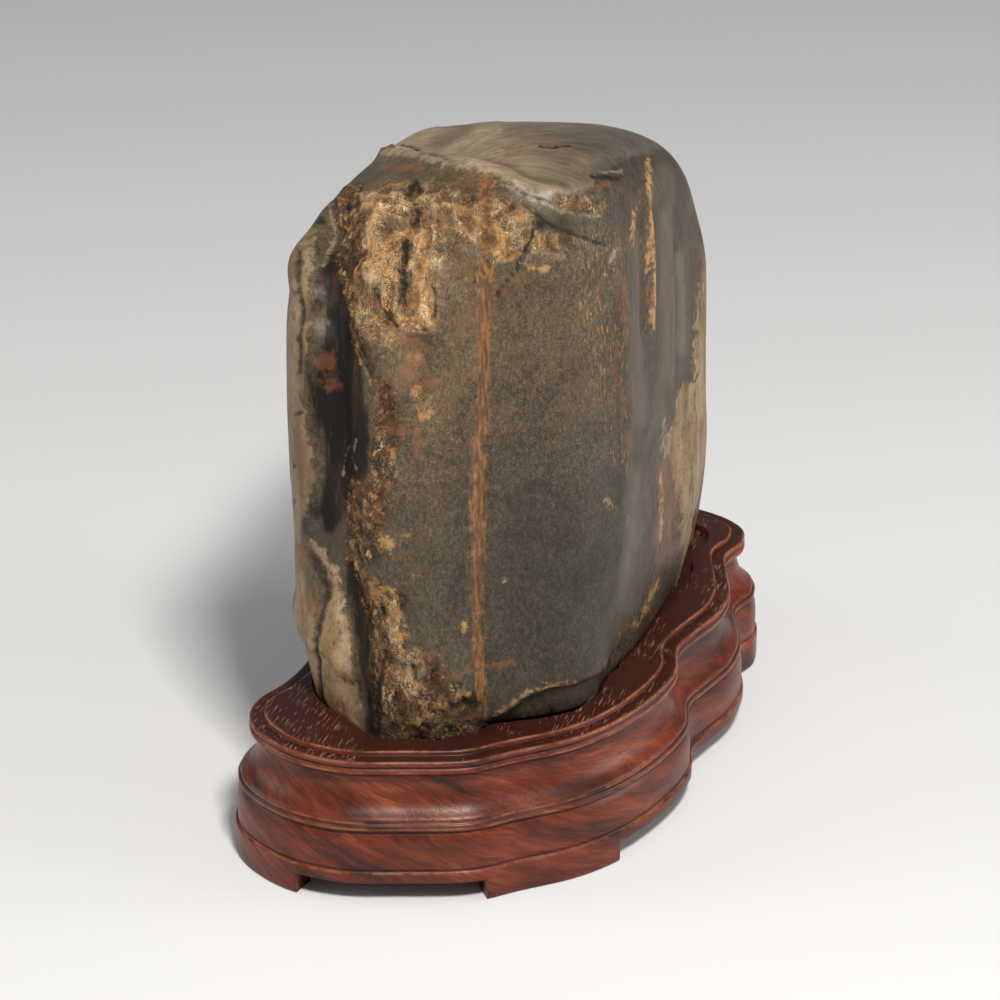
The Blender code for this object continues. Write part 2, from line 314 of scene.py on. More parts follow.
def net_side(bm, fixed, value, flip):
    """One side of the box, as rows of square cells."""
    first, second = [axis for axis in range(3) if axis != fixed]
    counts = np.rint((NET_HIGH - NET_LOW) / NET_CELL).astype(int)
    rows = []
    for v in np.linspace(NET_LOW[second], NET_HIGH[second], counts[second] + 1):
        row = []
        for u in np.linspace(NET_LOW[first], NET_HIGH[first], counts[first] + 1):
            co = [0.0, 0.0, 0.0]
            co[fixed], co[first], co[second] = value, u, v
            row.append(bm.verts.new(co))
        rows.append(row)
    for lower, upper in zip(rows[:-1], rows[1:]):
        for step in range(len(lower) - 1):
            corners = (lower[step], lower[step + 1], upper[step + 1], upper[step])
            bm.faces.new(corners if flip else corners[::-1])


def on_stone(co):
    """Points of the net slid in onto the stone, and the way it faces there."""
    start = np.clip(co, BONE_LOW, BONE_HIGH)
    ray = co - start
    point = bare_surface(start, ray / np.linalg.norm(ray, axis=1)[:, None])
    return point, surface_normal(point)


def split_where(bm, wanted):
    """Split in four every face whose middle the test picks out."""
    faces = bm.faces[:]
    point, normal = on_stone(np.array([face.calc_center_median()[:] for face in faces]))
    chosen = wanted(point, normal)
    edges = {edge for face, pick in zip(faces, chosen) if pick for edge in face.edges}
    bmesh.ops.subdivide_edges(bm, edges=list(edges), cuts=1, use_grid_fill=True)


def seen_front(_, normal):
    """Whether the eye sees each place, apart from the flat right side. Only the facing counts."""
    return (normal @ eye_back > FRONT_FACES_EYE) & (normal[:, 0] < SIDE_LIMIT)


def crusted(point, normal):
    """Whether each place lies in the crusted corner and faces the eye."""
    return (inside(sheet(point), CRUSTED_CORNER) > 0) & (normal @ eye_back > CRUST_FACES_EYE)


net = bmesh.new()
net_side(net, 0, NET_LOW[0], False)
net_side(net, 0, NET_HIGH[0], True)
net_side(net, 1, NET_LOW[1], True)
net_side(net, 1, NET_HIGH[1], False)
net_side(net, 2, NET_HIGH[2], True)
bmesh.ops.remove_doubles(net, verts=net.verts[:], dist=NET_WELD)
split_where(net, seen_front)
split_where(net, crusted)
point, normal = on_stone(np.array([vert.co[:] for vert in net.verts]))
print("the net has", len(net.verts), "points")

# %% [markdown]
# ## The large relief
# On top of the blended flats the stone has lines that stand out or cut in, and
# soft spots. Lines on the front are placed as a front view shows them, by how
# far across and how high they are. Lines on the right side go by how far back
# and how high, and lines on the top by how far across and how far back. Low on
# the face a ledge steps back, and the foot spreads forward down to the plate.
# The plain solid has the same relief, so the two agree.

# %% Lines, spots, ledge, spreading foot and crust lumps
FRONT_TURN = 17.0
FRONT_MIDDLE = -3
FRONT_FADE = (0.0, 0.35)
SIDE_FADE = (0.35, 0.75)
TOP_FADE = (0.45, 0.75)
FRONT_LINES = [
    ([(-69, 268), (-67, 240), (-66, 190), (-65, 145), (-58, 112), (-55, 76)], 10.0, -8.0),
    ([(-76, 235), (-77, 190), (-76, 150)], 6.0, 2.0),
    ([(-46, 232), (-50, 196), (-48, 160), (-50, 130)], 8.0, 3.0),
    ([(-9, 262), (-8, 200), (-9, 140), (-11, 84)], 4.0, -1.2),
    ([(-30, 130), (-32, 100), (-30, 76)], 12.0, 3.0),
    ([(40, 284), (47, 262), (50, 210), (50, 160)], 5.0, 1.6),
    ([(-22, 262), (-27, 246), (-40, 238), (-55, 240)], 5.0, 2.0),
]
FRONT_SPOTS = [
    ((8, 275), 8.0, -3.2),
    ((20, 272), 7.0, -3.0),
    ((-38, 262), 6.0, -3.0),
    ((-52, 256), 7.0, 2.6),
    ((-27, 262), 7.0, 2.4),
    ((-79, 100), 10.0, 2.5),
    ((-62, 90), 8.0, 2.5),
    ((-33, 236), 6.0, -1.8),
    ((-76, 256), 12.0, 4.5),
]
SIDE_LINES = [
    ([(28, 275), (26, 240), (25, 175)], 5.0, 1.8),
    ([(50, 262), (51, 215), (52, 165)], 5.0, 1.8),
    ([(38, 262), (38, 170)], 5.0, -1.4),
    ([(95, 215), (88, 150), (84, 110)], 17.0, 2.5),
    ([(148, 150), (148, 56)], 15.0, 8.0),
    ([(118, 98), (119, 56)], 11.0, -5.0),
    ([(64, 150), (66, 100)], 6.0, -1.8),
]
TOP_LINES = [
    ([(-66, 58), (-52, 40), (-38, 17), (-22, 2), (-4, -14), (12, -25)], 6.0, 2.4),
    ([(-38, 34), (-20, 18), (-4, 4)], 6.0, -2.2),
    ([(18, -16), (34, -10), (44, 8)], 6.0, -1.8),
]
LEDGE = [(-12, 70), (0, 74), (7, 79), (18, 82), (30, 81), (44, 78), (60, 70)]
LEDGE_DEPTH = 5.0
LEDGE_STEP = (-1.0, 4.0)
LEDGE_LEFT_FADE = (-16, -8)
LEDGE_RIGHT_FADE = (52, 64)
FOOT_SWELL = 14.0
FOOT_SWELL_TOP = 125.0
FOOT_SWELL_LEFT = (-68, -48)
FOOT_SWELL_RIGHT = (25, 60)
SWELL_SIZE = 46.0
SWELL_HEIGHT = 1.5
SWELL_SEED = 3
CRUST_MIDDLE = (-38, 256)
CRUST_REACH = (34, 34)
CRUST_LUMP = 13.0
CRUST_HEIGHT = 2.6
CRUST_FADE = (0.7, 1.1)
CRUST_SEED = 8


def large_relief(point, normal):
    """How far the surface stands out from the blended flats, in millimetres."""
    turn = math.radians(FRONT_TURN)
    front = np.column_stack([point[:, 0] * math.cos(turn) + point[:, 1] * math.sin(turn), point[:, 2]])
    side = point[:, 1:]
    plan = point[:, :2]
    on_front = smooth(normal @ facing(FRONT_MIDDLE, 0), *FRONT_FADE)
    on_side = smooth(normal[:, 0], *SIDE_FADE)
    on_top = smooth(normal[:, 2], *TOP_FADE)
    out = SWELL_HEIGHT * lumps(point, SWELL_SIZE, SWELL_SEED)
    drawn = ((on_front, front, FRONT_LINES), (on_side, side, SIDE_LINES), (on_top, plan, TOP_LINES))
    for share, places, lines in drawn:
        for path, width, height in lines:
            out += share * height * np.exp(-(distance_to(places, path) / width) ** 2)
    for spot, radius, height in FRONT_SPOTS:
        out += on_front * height * np.exp(-(np.hypot(*(front - spot).T) / radius) ** 4)
    ledge = np.array(LEDGE, float)
    edge_height = np.interp(front[:, 0], ledge[:, 0], ledge[:, 1])
    ends = smooth(front[:, 0], *LEDGE_LEFT_FADE) * (1 - smooth(front[:, 0], *LEDGE_RIGHT_FADE))
    out -= on_front * ends * LEDGE_DEPTH * smooth(edge_height - front[:, 1], *LEDGE_STEP)
    spread = smooth(front[:, 0], *FOOT_SWELL_LEFT) * (1 - smooth(front[:, 0], *FOOT_SWELL_RIGHT))
    out += on_front * spread * FOOT_SWELL * (1 - smooth(front[:, 1], PLATE_HEIGHT, FOOT_SWELL_TOP))
    crust = np.hypot(*((front - CRUST_MIDDLE) / CRUST_REACH).T)
    out += on_front * (1 - smooth(crust, *CRUST_FADE)) * CRUST_HEIGHT * lumps(point, CRUST_LUMP, CRUST_SEED)
    return out


large = large_relief(point, normal)
print("large relief from", round(large.min(), 1), "to", round(large.max(), 1), "mm")

# %% [markdown]
# ## Patches of colour, drawn on the sheet
# The stone's skin is a patchwork: a dark, smooth flank, pale tan bands where
# the outer rind is left, a golden crust, dark chipped parts, a worn top whose
# warm tone is partly painted sheen, smooth slate strips, and fields of small
# golden flecks beside them.
# Each patch is drawn as a few corners on the sheet that the eye looks through.
# What is kept for each point is not yes or no but a slope that climbs across
# the patch's edge. A slope can be roughened later, so no edge looks drawn.

# %% Draw the patches
PATCHES = {
    "tan": (7.0, [
        [(270, 215), (312, 226), (311, 262), (308, 330), (302, 370), (303, 392), (306, 418), (310, 442),
         (313, 468), (313, 492), (308, 510), (304, 524), (300, 540), (300, 560), (304, 575), (312, 594),
         (318, 620), (319, 650), (320, 706), (270, 706)],
        [(306, 534), (316, 546), (326, 566), (336, 590), (338, 612), (343, 628), (347, 645), (351, 664),
         (356, 684), (362, 702), (368, 716), (350, 722), (327, 706), (319, 690), (318, 640), (324, 610),
         (324, 584), (314, 562)],
        [(706, 225), (703, 250), (697, 262), (694, 282), (690, 310), (689, 340), (691, 381), (681, 380),
         (677, 392), (674, 428), (664, 436), (661, 448), (666, 458), (673, 466), (677, 511), (676, 574),
         (673, 600), (666, 616), (655, 640), (730, 660), (740, 225)],
    ]),
    "dark": (10.0, [
        [(318, 246), (330, 244), (338, 270), (346, 300), (354, 330), (362, 360), (366, 388), (372, 410),
         (376, 440), (370, 470), (362, 490), (346, 512), (338, 530), (322, 532), (314, 512), (321, 492),
         (321, 466), (317, 440), (311, 410), (306, 390), (306, 372), (314, 350), (315, 300)],
        [(336, 568), (352, 578), (366, 600), (376, 640), (386, 690), (392, 734), (372, 730), (362, 700),
         (354, 672), (346, 636), (338, 604)],
        [(440, 682), (478, 680), (470, 694), (450, 692)],
        [(480, 706), (520, 700), (570, 700), (640, 650), (660, 640), (600, 700), (520, 722),
         (480, 722)],
    ]),
    "gold": (9.0, [
        [(364, 196), (392, 186), (432, 186), (462, 196), (500, 198), (534, 214), (532, 240), (520, 257),
         (494, 263), (482, 240), (462, 246), (440, 262), (436, 296), (430, 330), (414, 334), (398, 330),
         (386, 350), (372, 336), (358, 322), (352, 300), (360, 260)],
        [(392, 646), (410, 640), (426, 654), (424, 674), (406, 678), (392, 670)],
        [(412, 390), (426, 386), (434, 400), (430, 420), (420, 418)],
        [(384, 594), (400, 596), (402, 640), (392, 652)],
        [(536, 232), (560, 236), (560, 256), (536, 254)],
        [(556, 194), (582, 194), (600, 204), (598, 214), (560, 208)],
    ]),
    "chips": (8.0, [
        [(334, 196), (348, 184), (364, 186), (366, 250), (362, 290), (356, 318), (372, 352), (380, 380),
         (372, 386), (352, 340), (340, 300), (330, 240)],
        [(374, 384), (392, 380), (400, 420), (396, 470), (384, 520), (376, 560), (342, 572), (340, 520),
         (344, 486), (364, 484), (374, 430)],
        [(348, 572), (380, 578), (408, 594), (400, 640), (430, 646), (446, 664), (474, 690), (478, 724),
         (400, 742), (384, 720), (372, 650)],
    ]),
    "top": (6.0, [
        [(380, 90), (384, 152), (410, 158), (446, 165), (472, 172), (500, 182), (530, 194), (556, 202),
         (590, 190), (600, 172), (622, 160), (660, 150), (690, 160), (700, 90)],
    ]),
    "slate": (8.0, [
        [(626, 176), (648, 168), (646, 260), (644, 340), (650, 440), (658, 460), (656, 560), (640, 600),
         (626, 640), (612, 640), (620, 560), (628, 470), (626, 400), (624, 300)],
        [(656, 160), (668, 166), (690, 215), (694, 262), (688, 340), (688, 378), (674, 392), (668, 432),
         (654, 430), (654, 300)],
        [(316, 540), (326, 536), (338, 556), (340, 574), (328, 568)],
        [(526, 202), (560, 210), (592, 222), (586, 230), (560, 226), (536, 214)],
    ]),
    "flecks": (9.0, [
        [(576, 236), (620, 232), (626, 300), (624, 400), (626, 480), (612, 480), (606, 400), (590, 380),
         (578, 330)],
        [(640, 190), (654, 190), (654, 330), (644, 330)],
        [(640, 600), (656, 560), (660, 590), (640, 640), (612, 664), (606, 650)],
    ]),
}


def drawn_patch(name):
    """The slope across the edges of all patches of one kind, 0 outside and 1 inside."""
    softness, patches = PATCHES[name]
    deep = np.max([inside(place, corners) for corners in patches], axis=0)
    return np.clip(0.5 + deep / (2 * softness), 0, 1)


SEEN_FADE = (-0.02, 0.12)
place = sheet(point)
seen = smooth(normal @ eye_back, *SEEN_FADE)
skin = {name: drawn_patch(name) for name in PATCHES}
print({name: int((share > 0.5).sum()) for name, share in skin.items()})

# %% [markdown]
# ## Lines of colour, drawn on the sheet
# Thin things are drawn as lines instead: the iron vein that runs down the face,
# rust along old cracks, ochre grains, dark cracks, the pale crests of ridges,
# which are painted sheen, and a soft shine on the slate, which is a painted
# reflection. Each has its half width and its points, and its strength fades
# evenly to nothing at twice that width. A single point makes a round dot.

# %% Draw the lines
LINES = {
    "vein": [
        (6.0, [(487, 184), (486, 260), (485, 320), (484, 400), (481, 440)]),
        (6.5, [(481, 440), (478, 500), (478, 560), (477, 600)]),
        (4.5, [(477, 600), (477, 650), (476, 690), (477, 712)]),
        (3.0, [(488, 222), (500, 214), (512, 206)]),
    ],
    "rust": [
        (9.0, [(410, 330), (414, 352), (412, 368)]),
        (3.5, [(410, 379), (424, 384), (436, 382)]),
        (3.0, [(417, 422), (417, 440), (419, 458)]),
        (5.0, [(386, 410), (394, 420), (400, 430)]),
        (5.0, [(378, 384), (388, 396)]),
        (6.0, [(318, 358), (322, 376), (326, 392)]),
        (5.0, [(382, 478), (380, 505), (376, 520)]),
        (2.2, [(472, 654), (490, 655), (512, 653)]),
        (1.8, [(442, 664), (455, 665), (466, 657), (474, 651)]),
        (2.0, [(578, 664), (590, 659), (603, 655)]),
        (2.0, [(614, 340), (615, 386)]),
        (1.6, [(618, 394), (619, 424)]),
        (1.8, [(624, 428), (624, 470)]),
        (1.8, [(622, 280), (622, 345)]),
        (8.0, [(667, 466), (669, 500), (668, 530), (664, 556)]),
        (2.2, [(657, 520), (657, 582)]),
        (4.0, [(404, 600)]),
        (2.5, [(339, 630)]),
        (2.5, [(342, 656)]),
        (2.5, [(342, 676)]),
        (5.0, [(336, 712), (350, 716), (362, 714)]),
        (4.0, [(434, 666), (440, 684), (450, 692)]),
        (6.0, [(458, 694), (468, 708), (474, 716)]),
        (3.0, [(428, 654), (440, 658)]),
        (3.5, [(510, 134), (522, 134)]),
        (3.0, [(505, 149), (519, 148)]),
        (1.8, [(540, 144), (556, 145), (570, 144)]),
        (3.0, [(514, 276), (505, 286), (497, 294)]),
        (4.0, [(306, 596), (314, 606), (320, 612)]),
        (7.0, [(302, 548), (304, 562)]),
        (6.0, [(303, 446), (308, 470)]),
        (3.0, [(299, 330), (300, 380)]),
        (3.0, [(385, 168), (402, 168), (420, 171)]),
        (4.0, [(386, 215), (388, 240)]),
        (4.0, [(650, 290), (648, 303)]),
        (4.0, [(700, 245), (698, 275)]),
        (3.0, [(396, 686), (402, 690)]),
        (6.0, [(412, 708), (424, 712)]),
        (3.0, [(610, 182), (600, 186)]),
    ],
    "ochre": [
        (3.5, [(407, 533)]),
        (5.0, [(380, 538), (388, 544)]),
        (3.0, [(463, 620), (462, 626)]),
        (1.8, [(504, 579)]),
        (1.5, [(412, 573)]),
        (1.5, [(405, 418)]),
        (4.5, [(345, 552), (352, 564)]),
        (3.5, [(356, 518), (368, 522)]),
        (5.0, [(370, 584), (376, 600)]),
        (3.0, [(386, 588), (393, 589)]),
        (2.0, [(490, 695), (500, 690), (510, 683), (520, 674), (545, 672), (562, 670)]),
        (1.5, [(452, 679), (464, 679)]),
        (2.5, [(398, 700), (404, 712)]),
        (3.5, [(409, 700), (418, 698)]),
        (1.6, [(425, 692), (433, 694), (436, 702)]),
        (1.6, [(437, 718), (440, 711), (447, 716)]),
        (4.0, [(372, 206), (370, 225), (370, 250)]),
        (2.5, [(398, 232), (404, 229)]),
        (3.0, [(470, 208), (452, 210), (442, 212), (446, 228)]),
        (2.5, [(496, 258), (508, 259), (520, 254)]),
        (2.5, [(548, 250), (560, 248)]),
        (3.0, [(530, 268), (546, 270)]),
        (3.0, [(568, 204), (580, 204)]),
        (1.6, [(360, 248), (354, 270), (356, 300)]),
        (2.0, [(649, 160), (650, 200), (650, 240), (648, 270)]),
        (2.0, [(636, 210), (634, 244)]),
        (2.0, [(654, 240), (652, 300), (650, 325)]),
        (1.6, [(661, 470), (663, 500), (660, 540)]),
        (2.2, [(657, 582), (648, 600), (642, 612)]),
        (1.8, [(640, 618), (632, 626)]),
        (2.0, [(664, 434), (670, 430), (674, 428)]),
        (1.2, [(690, 340), (691, 378)]),
        (1.6, [(605, 500), (610, 506), (613, 510)]),
        (1.3, [(625, 521)]),
        (1.6, [(355, 346), (358, 356), (361, 364)]),
        (1.4, [(377, 640), (382, 652), (388, 640)]),
        (1.4, [(376, 668), (380, 676), (384, 681)]),
    ],
    # Painted sheen along the crests of ridges.
    "pale": [
        (2.6, [(383, 157), (400, 157), (420, 162), (445, 167), (470, 173), (491, 175), (513, 184),
               (527, 192), (550, 194)]),
        (2.0, [(499, 186), (520, 194), (541, 201), (559, 210), (579, 214), (599, 216)]),
        (1.6, [(341, 184), (331, 200), (326, 218), (322, 238), (319, 262)]),
        (1.8, [(362, 198), (364, 216), (366, 236), (366, 256)]),
        (1.8, [(433, 206), (434, 230), (433, 256)]),
        (1.6, [(493, 263), (508, 262), (520, 257)]),
        (1.4, [(538, 255), (560, 256)]),
        (1.4, [(346, 452), (339, 463), (335, 484)]),
        (1.4, [(355, 440), (351, 462), (357, 480)]),
        (1.2, [(540, 148), (556, 149), (570, 147)]),
        (1.4, [(592, 125), (606, 126)]),
        (1.8, [(398, 152), (412, 152), (430, 158), (452, 166)]),
        (1.6, [(440, 163), (458, 152), (478, 143), (500, 132)]),
        (2.5, [(366, 368), (370, 378)]),
        (1.3, [(649, 407), (649, 430)]),
        (1.3, [(665, 419), (665, 430)]),
        (1.8, [(607, 168), (624, 170)]),
        (2.0, [(614, 252), (610, 262)]),
        (0.9, [(309, 538), (322, 566), (335, 590)]),
        (1.4, [(374, 290), (378, 304), (386, 316)]),
        (1.4, [(412, 284), (424, 282), (432, 290), (434, 300)]),
    ],
    "crack": [
        (4.2, [(403, 238), (401, 262), (402, 284), (404, 306)]),
        (5.5, [(411, 219), (413, 211), (415, 205)]),
        (2.2, [(407, 190), (416, 182), (420, 190)]),
        (3.4, [(309, 556), (316, 568), (321, 580), (325, 598)]),
        (1.6, [(325, 598), (321, 612), (321, 628), (320, 648), (319, 672), (322, 696), (328, 708)]),
        (2.2, [(395, 148), (410, 149), (425, 156), (440, 162), (452, 167)]),
        (2.0, [(383, 152), (396, 152)]),
        (1.8, [(534, 222), (535, 238), (524, 256), (513, 274), (496, 296)]),
        (4.0, [(540, 224), (544, 226)]),
        (1.8, [(523, 203), (536, 213), (550, 224), (570, 233), (606, 246)]),
        (1.4, [(540, 146), (556, 147), (570, 145)]),
        (3.5, [(596, 172), (608, 174), (620, 178)]),
        (5.0, [(693, 514), (696, 530), (694, 544)]),
        (2.0, [(298, 335), (300, 350), (299, 372)]),
        (1.8, [(312, 221), (320, 216)]),
        (2.2, [(301, 252), (301, 300), (300, 330)]),
        (2.0, [(295, 465)]),
        (2.0, [(294, 501)]),
        (2.0, [(303, 412), (298, 414)]),
        (3.5, [(306, 520), (308, 534)]),
        (2.4, [(356, 330), (364, 352), (372, 372)]),
        (2.0, [(412, 656), (415, 666)]),
        (3.0, [(446, 686), (460, 685), (474, 688)]),
        (1.6, [(376, 290), (380, 306), (390, 320), (398, 326)]),
        (1.4, [(434, 288), (436, 300), (434, 316)]),
        (2.2, [(370, 690), (374, 712), (382, 728)]),
        (2.4, [(388, 640), (384, 660), (380, 690), (384, 720)]),
    ],
    # Painted reflection on the slate.
    "shine": [
        (9.0, [(632, 480), (630, 540), (624, 600)]),
        (7.0, [(640, 240), (640, 420)]),
        (6.0, [(663, 170), (664, 300), (662, 420)]),
        (4.0, [(679, 256), (682, 300), (680, 350)]),
        (3.0, [(670, 172), (671, 200), (670, 216)]),
    ],
}


def drawn_lines(name):
    """How strong the lines of one kind are at each point, 1 along their middles."""
    strength = np.zeros(len(place))
    for width, path in LINES[name]:
        path = path if len(path) > 1 else path + [(path[0][0] + 1, path[0][1] + 1)]
        strength = np.maximum(strength, 1 - distance_to(place, path) / (2 * width))
    return np.clip(strength, 0, 1)


for name in LINES:
    skin[name] = drawn_lines(name)
print({name: int((skin[name] > 0.5).sum()) for name in LINES})

# %% [markdown]
# ## Washes
# A painter lays a thin wash over a whole area before any detail, and weather
# leaves such washes too. Three washes are kept as soft spots: how light the
# stone is, how warm its grey is, and how many pale grains show in it. The light
# wash is partly the stone's own tone and partly painted light and shade: it
# lightens the lit right side and the crust, and darkens the face low on the
# right, under the ledge and along the foot, where shade falls. The left of the
# face is light and warm. Low on the right it is dark and cool, and almost
# grainless.

# %% Lay the washes
WASHES = {
    # The light wash: partly the stone's own tone, partly painted light on the lit right side and crust, and
    # painted shade low on the right, under the ledge and along the foot.
    "light": (1.0, [
        ((425, 400), (60, 150), 0.18), ((560, 600), (110, 110), -0.22), ((560, 700), (120, 26), -0.35),
        ((330, 420), (24, 120), -0.1), ((400, 250), (50, 90), 0.32), ((600, 150), (70, 30), -0.25),
        ((330, 650), (20, 60), 0.85), ((430, 720), (70, 24), -0.3),
        ((530, 400), (70, 110), -0.12), ((606, 330), (20, 110), 0.06), ((700, 440), (22, 150), 0.22),
    ]),
    "warm": (0.5, [
        ((430, 300), (90, 160), 0.45), ((560, 380), (60, 90), 0.15), ((570, 600), (110, 130), -0.5),
        ((450, 130), (120, 40), 0.3), ((640, 400), (40, 220), -0.35), ((400, 680), (60, 60), 0.1),
        ((470, 155), (70, 18), 0.4), ((600, 150), (60, 30), -0.3),
    ]),
    "grains": (0.35, [
        ((560, 350), (90, 110), 0.65), ((430, 430), (60, 120), 0.4), ((560, 450), (80, 60), 0.35),
        ((600, 230), (40, 60), 0.5), ((570, 620), (100, 90), -0.2), ((640, 400), (18, 240), -0.6),
        ((600, 300), (20, 90), 0.3), ((320, 560), (30, 160), -0.6), ((390, 620), (40, 60), -0.3),
    ]),
}
for name, (ground, spots) in WASHES.items():
    skin[name] = np.full(len(place), ground)
    for spot, reach, amount in spots:
        skin[name] += amount * np.exp(-(((place - spot) / reach) ** 2).sum(axis=1))
print({name: (round(float(skin[name].min()), 2), round(float(skin[name].max()), 2)) for name in WASHES})

# %% [markdown]
# ## The sides that the drawing does not reach
# A sheet in front of the eye says nothing about the back. There the same kinds
# of patch are made by soft random lumps instead: tan rind, dark flank and slate,
# with a little crust, rust and ochre and a few chips and cracks. Each kind has a
# size, a seed and the height at which its lumps are cut off. Where the surface
# turns away from the eye, the drawing fades into the lumps, so no seam shows.

# %% Fill in the hidden sides
HIDDEN_PATCHES = {
    "tan": (62.0, 21, 0.10), "dark": (70.0, 22, 0.35), "gold": (44.0, 23, 0.50), "chips": (40.0, 24, 0.45),
    "slate": (60.0, 25, 0.25), "rust": (22.0, 26, 0.55), "ochre": (9.0, 27, 0.80), "crack": (30.0, 28, 0.62),
}
HIDDEN_WASHES = {"light": (1.0, 0.2, 50.0, 71), "warm": (0.55, 0.4, 80.0, 72), "grains": (0.5, 0.4, 60.0, 73)}
HIDDEN_STRETCH = np.array([1.0, 1.0, 0.4])
HIDDEN_SLOPE = 0.25
HIDDEN_TOP = (0.5, 0.8)
for name in skin:
    hidden = np.zeros(len(point))
    if name in HIDDEN_PATCHES:
        size, seed, cut_off = HIDDEN_PATCHES[name]
        hidden = np.clip(0.5 + (lumps(point * HIDDEN_STRETCH, size, seed) - cut_off) / HIDDEN_SLOPE, 0, 1)
    if name in HIDDEN_WASHES:
        ground, spread, size, seed = HIDDEN_WASHES[name]
        hidden = ground + spread * lumps(point, size, seed)
    # On the hidden sides the top tone, partly painted sheen, goes where the surface faces up.
    if name == "top":
        hidden = smooth(normal[:, 2], *HIDDEN_TOP)
    skin[name] = seen * skin[name] + (1 - seen) * hidden
print("hidden share of the points:", round(float((seen < 0.5).mean()), 2))

# %% [markdown]
# ## The fine relief
# The crust is wrinkled like dried mud, and the chipped parts are flaked: flat
# little scales at different heights. Wrinkles are the sharp crests of folded
# noise. Scales are made by giving every cell of a crooked honeycomb its own
# height. Cracks cut in, the pale crests stand proud, and soft rolls and narrow ribs
# run along the drawn lines of the top and the right. The polished face has only
# a slow waviness. How far each point lies below its surroundings is kept too:
# it is used to paint shade into the hollows and light onto what stands proud.

# %% Wrinkles, scales and grooves
WRINKLES = [(10.0, 31, 1.3), (5.5, 32, 1.2), (2.8, 33, 0.8)]
WRINKLE_SLANT = np.array([[1.0, 0.0, 0.15], [0.0, 1.0, 0.0], [0.25, 0.0, 0.55]])
SCALE_SIZES = [(6.5, 41, 0.8), (3.2, 42, 0.45)]
SCALE_STRETCH = np.array([1.3, 1.3, 0.6])
CELL_SPREAD = 0.85
GROOVES = [("vein", -0.4), ("crack", -0.7), ("pale", 0.2), ("ochre", 0.1)]
ROLLS = [
    (5.0, 0.6, [(385, 154), (399, 152), (417, 154), (431, 160), (445, 165), (465, 170), (488, 175)]),
    (4.5, 0.9, [(431, 154), (447, 149), (465, 139), (484, 130), (498, 128)]),
    (3.0, -1.1, [(400, 148), (412, 150), (426, 156), (436, 161)]),
    (6.0, 0.8, [(385, 152), (394, 145), (406, 139), (420, 134), (436, 127)]),
    (8.0, -0.8, [(436, 140), (452, 134), (466, 130)]),
    (5.0, 0.9, [(470, 165), (498, 172), (530, 184), (556, 190)]),
    (3.5, -0.9, [(486, 158), (510, 166), (540, 176), (566, 182)]),
    (5.0, 0.7, [(560, 150), (590, 158), (612, 152), (640, 150)]),
    (3.0, 0.9, [(668, 210), (670, 300), (668, 376)]),
    (2.5, -0.8, [(661, 200), (662, 300), (661, 380)]),
    (2.5, 0.7, [(679, 250), (682, 330), (680, 372)]),
    (2.0, -0.7, [(675, 240), (676, 330)]),
    (3.0, 0.7, [(652, 170), (653, 260), (652, 340)]),
    (3.0, -0.7, [(645, 180), (644, 260), (645, 330)]),
    (3.0, 0.6, [(626, 240), (627, 330), (628, 420)]),
    (4.0, -0.6, [(616, 300), (616, 400), (618, 500)]),
    (3.0, 0.4, [(340, 176), (328, 196), (320, 216), (314, 240)]),
    (2.6, -0.4, [(347, 180), (336, 200), (328, 222), (322, 246)]),
]
HOLLOW_DEPTH = 1.6
WRINKLED_FADE = (0.2, 0.8)
FLAKED_FADE = (0.3, 0.8)
GROOVE_FADE = (0.3, 0.9)
FLAKED_WRINKLES = 0.4
BEND = 4.0
BEND_SIZE = 13.0
BEND_SEEDS = (51, 52, 53)
WAVE_HEIGHT = 0.25
WAVE_SIZE = 14.0
WAVE_SEED = 61


def folds(point, size, seed):
    """Sharp crests and round hollows, between -1 and 1."""
    return 1 - 4 * np.abs(lumps(point, size, seed))


def scales(point, size, seed):
    """A crooked honeycomb in which each cell has its own height, between -1 and 1."""
    rng = np.random.default_rng(seed)
    spread = rng.uniform(-0.5, 0.5, (LUMP_GRID, LUMP_GRID, LUMP_GRID, 3)) * CELL_SPREAD
    height = rng.uniform(-1, 1, (LUMP_GRID, LUMP_GRID, LUMP_GRID))
    cell = np.floor(point / size).astype(int)
    best, level = np.full(len(point), FAR_AWAY), np.zeros(len(point))
    for step in np.ndindex(3, 3, 3):
        near = cell + np.array(step) - 1
        x, y, z = (near % LUMP_GRID).T
        away = np.linalg.norm(point / size - near - 0.5 - spread[x, y, z], axis=1)
        level = np.where(away < best, height[x, y, z], level)
        best = np.minimum(best, away)
    return level


wrinkled = smooth(skin["gold"], *WRINKLED_FADE)
flaked = smooth(skin["chips"], *FLAKED_FADE)
bent = point + BEND * np.column_stack([lumps(point, BEND_SIZE, seed) for seed in BEND_SEEDS])
small = np.zeros(len(point))
for size, seed, height in WRINKLES:
    small += (wrinkled + FLAKED_WRINKLES * flaked) * height * 0.5 * folds(bent @ WRINKLE_SLANT, size, seed)
for size, seed, height in SCALE_SIZES:
    small += flaked * height * scales(bent * SCALE_STRETCH, size, seed)
for name, height in GROOVES:
    small += height * smooth(skin[name], *GROOVE_FADE)
for width, height, path in ROLLS:
    small += seen * height * np.exp(-(distance_to(place, path) / width) ** 2)
# Painted shade: how far each point lies below its surroundings, used to darken hollows and lighten what
# stands proud.
skin["hollow"] = np.clip(0.5 - small / (2 * HOLLOW_DEPTH), 0, 1)
small += WAVE_HEIGHT * lumps(point, WAVE_SIZE, WAVE_SEED) * (1 - wrinkled)
print("fine relief from", round(small.min(), 2), "to", round(small.max(), 2), "mm")

# %% [markdown]
# ## Make the stone
# The points now move out along the way the surface faces, by the large and the
# fine relief together. The foot is sawn flat, as it has to be to stand, and the
# masks for the colours are stored on the points of the mesh under their names.

